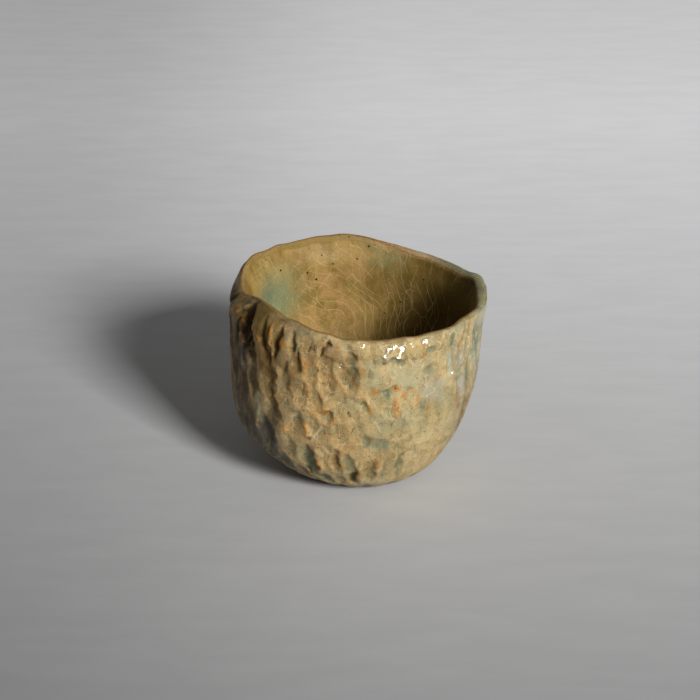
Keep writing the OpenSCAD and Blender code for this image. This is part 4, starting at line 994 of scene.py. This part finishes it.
def liner_glaze(colours):
    """Clear ochre glaze over smoothed stoneware, crazed all over: darker to the right, as painted shade where
    the lip shades the right inner wall, with a green pool at the left and a few pinholes."""
    material, tree, shader, where = finish("ochre_liner_glaze")
    side = node(tree, "ShaderNodeSeparateXYZ", {"Vector": where}).outputs
    turned = node(tree, "ShaderNodeMath", {0: side["X"], 1: side["Y"]}, operation="ARCTAN2").outputs[0]
    arc = node(tree, "ShaderNodeMath", {0: turned, 1: BOWL_ARC_MM * MM}, operation="MULTIPLY").outputs[0]
    unrolled = node(tree, "ShaderNodeCombineXYZ", {"X": arc, "Z": side["Z"]}).outputs[0]
    upright = node(tree, "ShaderNodeMapping", {"Vector": where, "Scale": (1, 1, 0.40)}).outputs[0]
    cloud = partial(mottled, tree, where)

    def pooled(arc, height, radius):
        return dotted(tree, unrolled, [((arc * MM, 0, height * MM), radius)], 1.0)

    layers = [
        (colours.ochre, mottled(tree, upright, 4.5, 0.34, 0.62)),
        (colours.blush, pooled(-6, 33, 24), cloud(5.0, 0.38, 0.60, 0.9)),
        (colours.honey, cloud(9.0, 0.52, 0.66, 0.6)),
        (colours.celadon, pooled(8, 46, 9), cloud(4.0, 0.35, 0.60, 0.6)),
        (colours.celadon, pooled(-24, 35.5, 13), cloud(4.0, 0.20, 0.46, 0.9)),
        (colours.deep_teal, pooled(-27, 38.5, 6), cloud(2.5, 0.30, 0.55, 0.55)),
        # Painted shade: dark bronze where the right inner wall lies in the lip's shadow
        (colours.bronze_shade, pooled(36, 28, 47), cloud(6.0, 0.10, 0.42)),
        (colours.bronze_shade, pooled(24, 16, 26), 0.9),
        (colours.bronze_shade, pooled(33, 47, 9), cloud(4.0, 0.25, 0.50, 0.8)),
        (colours.honey, cloud(0.5, 0.52, 0.66, 0.5, rough=0.75)),
        (colours.cream, cloud(0.5, 0.44, 0.32, 0.25, rough=0.75))]

    # Cracks that slope down to the right in the middle, stand upright at the right and rise
    # to the right at the left, and a few that cross them
    for slant, gap, bend, place, most in (
            (38, 2.8, 20, (-2, 32, 26), 0.42), (6, 2.8, 16, (14, 30, 24), 0.42),
            (-60, 4.4, 20, (-20, 42, 22), 0.30)):
        layers.append((
            colours.cream, strands(tree, unrolled, slant, gap, 0.15, bend), pooled(*place),
            mottled(tree, unrolled, 9.0, 0.38, 0.52, most, detail=1.0)))
    layers.append((
        colours.cream, crackle(tree, upright, 5.4, 0.09, 8), cloud(6.0, 0.42, 0.56, 0.25, detail=2.0)))
    dots = [((arc * MM, 0, height * MM), radius) for arc, height, radius in LINER_DOTS_MM]
    layers.append((colours.iron, dotted(tree, unrolled, dots, 0.5)))
    tree.links.new(layered(tree, colours.honey, layers), shader.inputs["Base Color"])

    shader.inputs["Roughness"].default_value = 0.5
    shader.inputs["IOR"].default_value = 1.5
    shader.inputs["Specular IOR Level"].default_value = 0.15
    ripple = node(tree, "ShaderNodeTexNoise", {
        "Vector": where, "Scale": per(2.5), "Detail": 3.0}).outputs["Fac"]
    bump = node(tree, "ShaderNodeBump", {
        "Height": ripple, "Strength": 0.5, "Distance": 0.25 * MM}).outputs[0]
    tree.links.new(bump, shader.inputs["Normal"])
    return material


def bare_clay(name, colours):
    """Iron-bearing stoneware left unglazed: rough, with coarse sand and a reddened skin."""
    material, tree, shader, where = finish(name)
    base = layered(tree, colours.clay, [
        (colours.ember, mottled(tree, where, 6.0, 0.35, 0.65)),
        (colours.soot, mottled(tree, where, 0.6, 0.60, 0.72, 0.6, rough=0.7))])
    tree.links.new(base, shader.inputs["Base Color"])
    shader.inputs["Roughness"].default_value = 0.85
    grains = node(tree, "ShaderNodeTexNoise", {
        "Vector": where, "Scale": per(0.6), "Detail": 4.0, "Roughness": 0.7}).outputs["Fac"]
    bump = node(tree, "ShaderNodeBump", {
        "Height": grains, "Strength": 0.6, "Distance": 0.2 * MM}).outputs[0]
    tree.links.new(bump, shader.inputs["Normal"])
    return material


def paper(colours):
    """Seamless grey paper, faintly rippled, with painted light that pales it away from the camera and to the
    right.
    """
    material, tree, shader, where = finish("grey_paper_with_painted_light")
    place = node(tree, "ShaderNodeSeparateXYZ", {"Vector": where}).outputs
    # Painted light: the paper pales away from the camera
    back = node(tree, "ShaderNodeMapRange", {
        "Value": place["Y"], "From Min": -140 * MM, "From Max": 260 * MM,
        "To Min": 0.60, "To Max": 1.82}).outputs[0]
    # Painted light and shade: paler to the right, darker to the left
    right = node(tree, "ShaderNodeMapRange", {
        "Value": place["X"], "From Min": -110 * MM, "From Max": 20 * MM, "To Min": 0.72, "To Max": 1.0},
        interpolation_type="SMOOTHSTEP").outputs[0]
    long = node(tree, "ShaderNodeMapping", {"Vector": where, "Scale": (0.3, 1, 1)}).outputs[0]
    ripple = mottled(tree, long, 7.0, 0.30, 0.70, 0.05, detail=5.0)
    share = node(tree, "ShaderNodeMath", {0: back, 1: right}, operation="MULTIPLY").outputs[0]
    share = node(tree, "ShaderNodeMath", {0: share, 1: ripple, 2: share},
                 operation="MULTIPLY_ADD").outputs[0]
    sheet = node(tree, "ShaderNodeVectorMath", {0: colours.paper[:3], "Scale": share},
                 operation="SCALE").outputs[0]
    tree.links.new(sheet, shader.inputs["Base Color"])
    shader.inputs["Roughness"].default_value = 0.9
    shader.inputs["Specular IOR Level"].default_value = 0.2
    return material


class CUP_OT_outer_glaze(bpy.types.Operator):
    """Sculpt the outer coat of glaze over the carved wall and the lip"""
    bl_idname = "guinomi.outer_glaze"
    bl_label = "Outer glaze"

    def execute(self, context):
        sizes = context.scene.guinomi_sizes
        turn = TURN[None, :]
        place, radius, z, masks = outer_wall(sizes)
        lip_r, lip_z = lip_rows(sizes, lip_wobble())
        under_r, picked = coat_under(radius, sizes, HIDDEN_ROWS)

        # Up the wall, over the lip to its inner edge, back inside the lip and down the
        # hidden side
        all_r = np.concatenate([
            radius, lip_r, lip_r[-1:] + sizes.glaze, lip_r[5:6] - 0.25 * MM, lip_r[2:3] - 0.45 * MM,
            under_r[::-1], radius[:1]])
        all_z = np.concatenate([
            z, lip_z, lip_z[-1:], lip_z[4:5] - sizes.glaze, lip_z[2:3] - sizes.glaze,
            z[picked][::-1], z[:1]])
        extra = len(all_r) - len(radius)
        full = {name: np.concatenate([values, np.repeat(values[-1:], extra, axis=0)])
                for name, values in masks.items()}

        # The wall's patches fade on the lip, which has four colours of its own, its buff partly painted light
        lip_part = slice(len(radius), len(radius) + LIP_ROWS)
        for name in ("teal", "deep", "pool", "shade", "rust", "wet_glint"):
            full[name][lip_part] *= 0.3
        across_lip = np.linspace(0, 1, LIP_ROWS)[:, None]
        line = np.exp(-((across_lip - round_value(LIP_LINE_SHARES, turn)) / 0.11) ** 2)
        for name, share in (
                ("lip_line", round_value(WORN_LIP_SHARES, turn) * line),
                ("lip_ochre", smoothstep(0.1, 0.4, across_lip) * round_value(OCHRE_LIP_SHARES, turn)),
                ("lip_buff_and_light", round_value(BUFF_AND_LIGHT_LIP_SHARES, turn)),
                ("lip_green", round_value(GREEN_LIP_SHARES, turn))):
            full[name] = np.zeros(all_r.shape)
            full[name][lip_part] = share
        piece = rolled_grid("outer_glaze_coat", points(turn, all_r, all_z), full)
        stands_for(piece, "outer_glaze", ash_glaze(
            context.scene.guinomi_colours, dots_on(place, PINHOLE_SHARES), dots_on(place, GLINT_BEAD_SHARES)))
        return {"FINISHED"}


class CUP_OT_liner_glaze(bpy.types.Operator):
    """Shape the smooth coat of glaze inside the bowl"""
    bl_idname = "guinomi.liner_glaze"
    bl_label = "Liner glaze"

    def execute(self, context):
        sizes = context.scene.guinomi_sizes
        face = bowl_face(sizes, lip_wobble())
        picked = np.linspace(0, BOWL_ROWS - 1, HIDDEN_ROWS).round().astype(int)
        back_r, back_z = behind(face, picked, sizes.glaze)
        all_r = np.concatenate([back_r[::-1], face[0]])
        all_z = np.concatenate([back_z[::-1], face[1]])
        piece = rolled_grid("liner_glaze_coat", points(TURN[None, :], all_r, all_z), {})
        stands_for(piece, "liner_glaze", liner_glaze(context.scene.guinomi_colours))
        return {"FINISHED"}


class CUP_OT_clay_bowl(bpy.types.Operator):
    """Shape the clay bowl between the coats, with its scooped underside"""
    bl_idname = "guinomi.clay_bowl"
    bl_label = "Clay bowl"

    def execute(self, context):
        sizes = context.scene.guinomi_sizes
        turn = TURN[None, :]
        gap = 0.04 * MM
        _, radius, z, _ = outer_wall(sizes)
        wobble = lip_wobble()
        under_r, picked = coat_under(radius, sizes, HIDDEN_ROWS)
        inner = np.linspace(2, BOWL_ROWS - 1, HIDDEN_ROWS).round().astype(int)
        inner_r, inner_z = behind(bowl_face(sizes, wobble), inner, sizes.glaze + gap)

        # The underside: a shallow hollow inside the foot, with the rings of its turning
        foot_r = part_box("foot_ring")[1][0]
        base_r = np.linspace(0, 1, 26)[:, None] * (under_r[:1] - gap)
        rings = 0.07 * MM * np.sin(base_r / (0.9 * MM)) * (base_r < foot_r * 0.72)
        hollow = sizes.scoop * (1 - smoothstep(0.0, 0.74, base_r / foot_r))
        base_z = CAD_BOX[0][2] + foot_height() + hollow + rings

        top_r = lip_radius(sizes, turn) - lip_wall(sizes, turn) / 2 + wobble[0]
        top_z = lip_height(sizes, turn) - sizes.glaze * 1.3 + wobble[1]
        all_r = np.concatenate([base_r, under_r - gap, top_r, inner_r])
        all_z = np.concatenate([base_z, z[picked], top_z, inner_z])
        piece = rolled_grid("clay_bowl_body", points(turn, all_r, all_z), {})
        stands_for(piece, "clay_bowl", bare_clay("stoneware_under_glaze", context.scene.guinomi_colours))
        return {"FINISHED"}


class CUP_OT_foot_ring(bpy.types.Operator):
    """Turn the bare foot ring that the cup stands on"""
    bl_idname = "guinomi.foot_ring"
    bl_label = "Foot ring"

    def execute(self, context):
        low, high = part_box("foot_ring")
        outer = high[0]
        inner = outer - 4.2 * MM
        edge = 0.4 * MM

        # Down the inner face, across the resting face with its rounded edges, and up the
        # outer face, which leans out a little
        profile = np.array([
            (inner, high[2]), (inner, low[2] + edge), (inner + edge * 0.3, low[2] + edge * 0.3),
            (inner + edge, low[2]), (outer - edge * 2, low[2]), (outer - edge * 1.3, low[2] + edge * 0.3),
            (outer - edge, low[2] + edge), (outer, high[2]), (inner, high[2])])
        radius, z = profile.T[:, :, None] + 0 * TURN
        wear = smooth_noise((1, COLUMNS + 1), 60, 1, 41) - 0.5
        worn = np.isin(np.arange(len(profile)), (1, 2, 5, 6))[:, None]
        radius = radius + np.where(worn, wear * 0.25 * MM, 0)
        piece = rolled_grid("foot_ring_body", points(TURN[None, :], radius, z), {})
        stands_for(piece, "foot_ring", bare_clay("bare_foot_stoneware", context.scene.guinomi_colours))
        return {"FINISHED"}


class CUP_OT_stage(bpy.types.Operator):
    """Lay the paper, set the soft box and place the camera"""
    bl_idname = "guinomi.stage"
    bl_label = "Stage"

    def execute(self, context):
        stage = context.scene.guinomi_stage
        colours = context.scene.guinomi_colours
        bpy.ops.object.select_all(action="DESELECT")
        bpy.ops.mesh.primitive_plane_add(size=6.0, location=(0, 0, CAD_BOX[0][2]))
        floor = context.object
        floor.name = "paper_floor"
        floor.data.materials.append(paper(colours))

        aim = Vector((0, 0, 24 * MM))
        lamp_way = Vector((
            math.cos(stage.lamp_height) * math.cos(stage.lamp_turn),
            math.cos(stage.lamp_height) * math.sin(stage.lamp_turn),
            math.sin(stage.lamp_height)))
        bpy.ops.object.light_add(type="AREA", location=aim + lamp_way * stage.lamp_distance)
        lamp = context.object
        lamp.name = "soft_box"
        lamp.rotation_euler = lamp_way.to_track_quat("Z", "Y").to_euler()
        lamp.data.shape = "SQUARE"
        lamp.data.size = stage.lamp_side
        lamp.data.energy = stage.lamp_power

        world = bpy.data.worlds.new("studio_fill")
        context.scene.world = world
        world.use_nodes = True
        sky = world.node_tree.nodes["Background"]
        sky.inputs["Color"].default_value = (1, 1, 1, 1)
        sky.inputs["Strength"].default_value = stage.sky

        eye_way = Vector((0, -math.cos(stage.eye_height), math.sin(stage.eye_height)))
        bpy.ops.object.camera_add(location=aim + eye_way * stage.eye_distance)
        camera = context.object
        camera.name = "camera"
        camera.rotation_euler = eye_way.to_track_quat("Z", "Y").to_euler()
        camera.data.sensor_width = 36
        view_mm = PHOTO_SIDE / PHOTO_PIXELS_PER_MM
        camera.data.lens = camera.data.sensor_width * stage.eye_distance / MM / view_mm
        camera.data.shift_x = (PHOTO_SIDE / 2 - AIM_PIXEL[0]) / PHOTO_SIDE
        camera.data.shift_y = (AIM_PIXEL[1] - PHOTO_SIDE / 2) / PHOTO_SIDE
        camera.data.dof.use_dof = False
        context.scene.camera = camera
        context.scene.view_settings.view_transform = "Standard"
        return {"FINISHED"}


class CUP_PT_panel(bpy.types.Panel):
    """Sizes, colours and steps of the cup"""
    bl_label = "Guinomi"
    bl_idname = "CUP_PT_panel"
    bl_space_type = "VIEW_3D"
    bl_region_type = "UI"
    bl_category = "Guinomi"

    def draw(self, context):
        for name in GROUPS:
            group = getattr(context.scene, name)
            box = self.layout.box()
            for value in group.__annotations__:
                box.prop(group, value)
        for step in STEPS:
            self.layout.operator(step.bl_idname)


GROUPS = {"guinomi_sizes": GuinomiSizes, "guinomi_colours": GuinomiColours, "guinomi_stage": GuinomiStage}
STEPS = [CUP_OT_stage, CUP_OT_outer_glaze, CUP_OT_liner_glaze, CUP_OT_clay_bowl, CUP_OT_foot_ring]


def register():
    for kind in [*GROUPS.values(), *STEPS, CUP_PT_panel]:
        bpy.utils.register_class(kind)
    for name, group in GROUPS.items():
        setattr(bpy.types.Scene, name, bpy.props.PointerProperty(type=group))


def unregister():
    for name in GROUPS:
        delattr(bpy.types.Scene, name)
    for kind in reversed([*GROUPS.values(), *STEPS, CUP_PT_panel]):
        bpy.utils.unregister_class(kind)


def main():
    register()
    bpy.ops.guinomi.stage()
    bpy.ops.guinomi.outer_glaze()
    bpy.ops.guinomi.liner_glaze()
    bpy.ops.guinomi.clay_bowl()
    bpy.ops.guinomi.foot_ring()


if __name__ == "__main__":
    main()
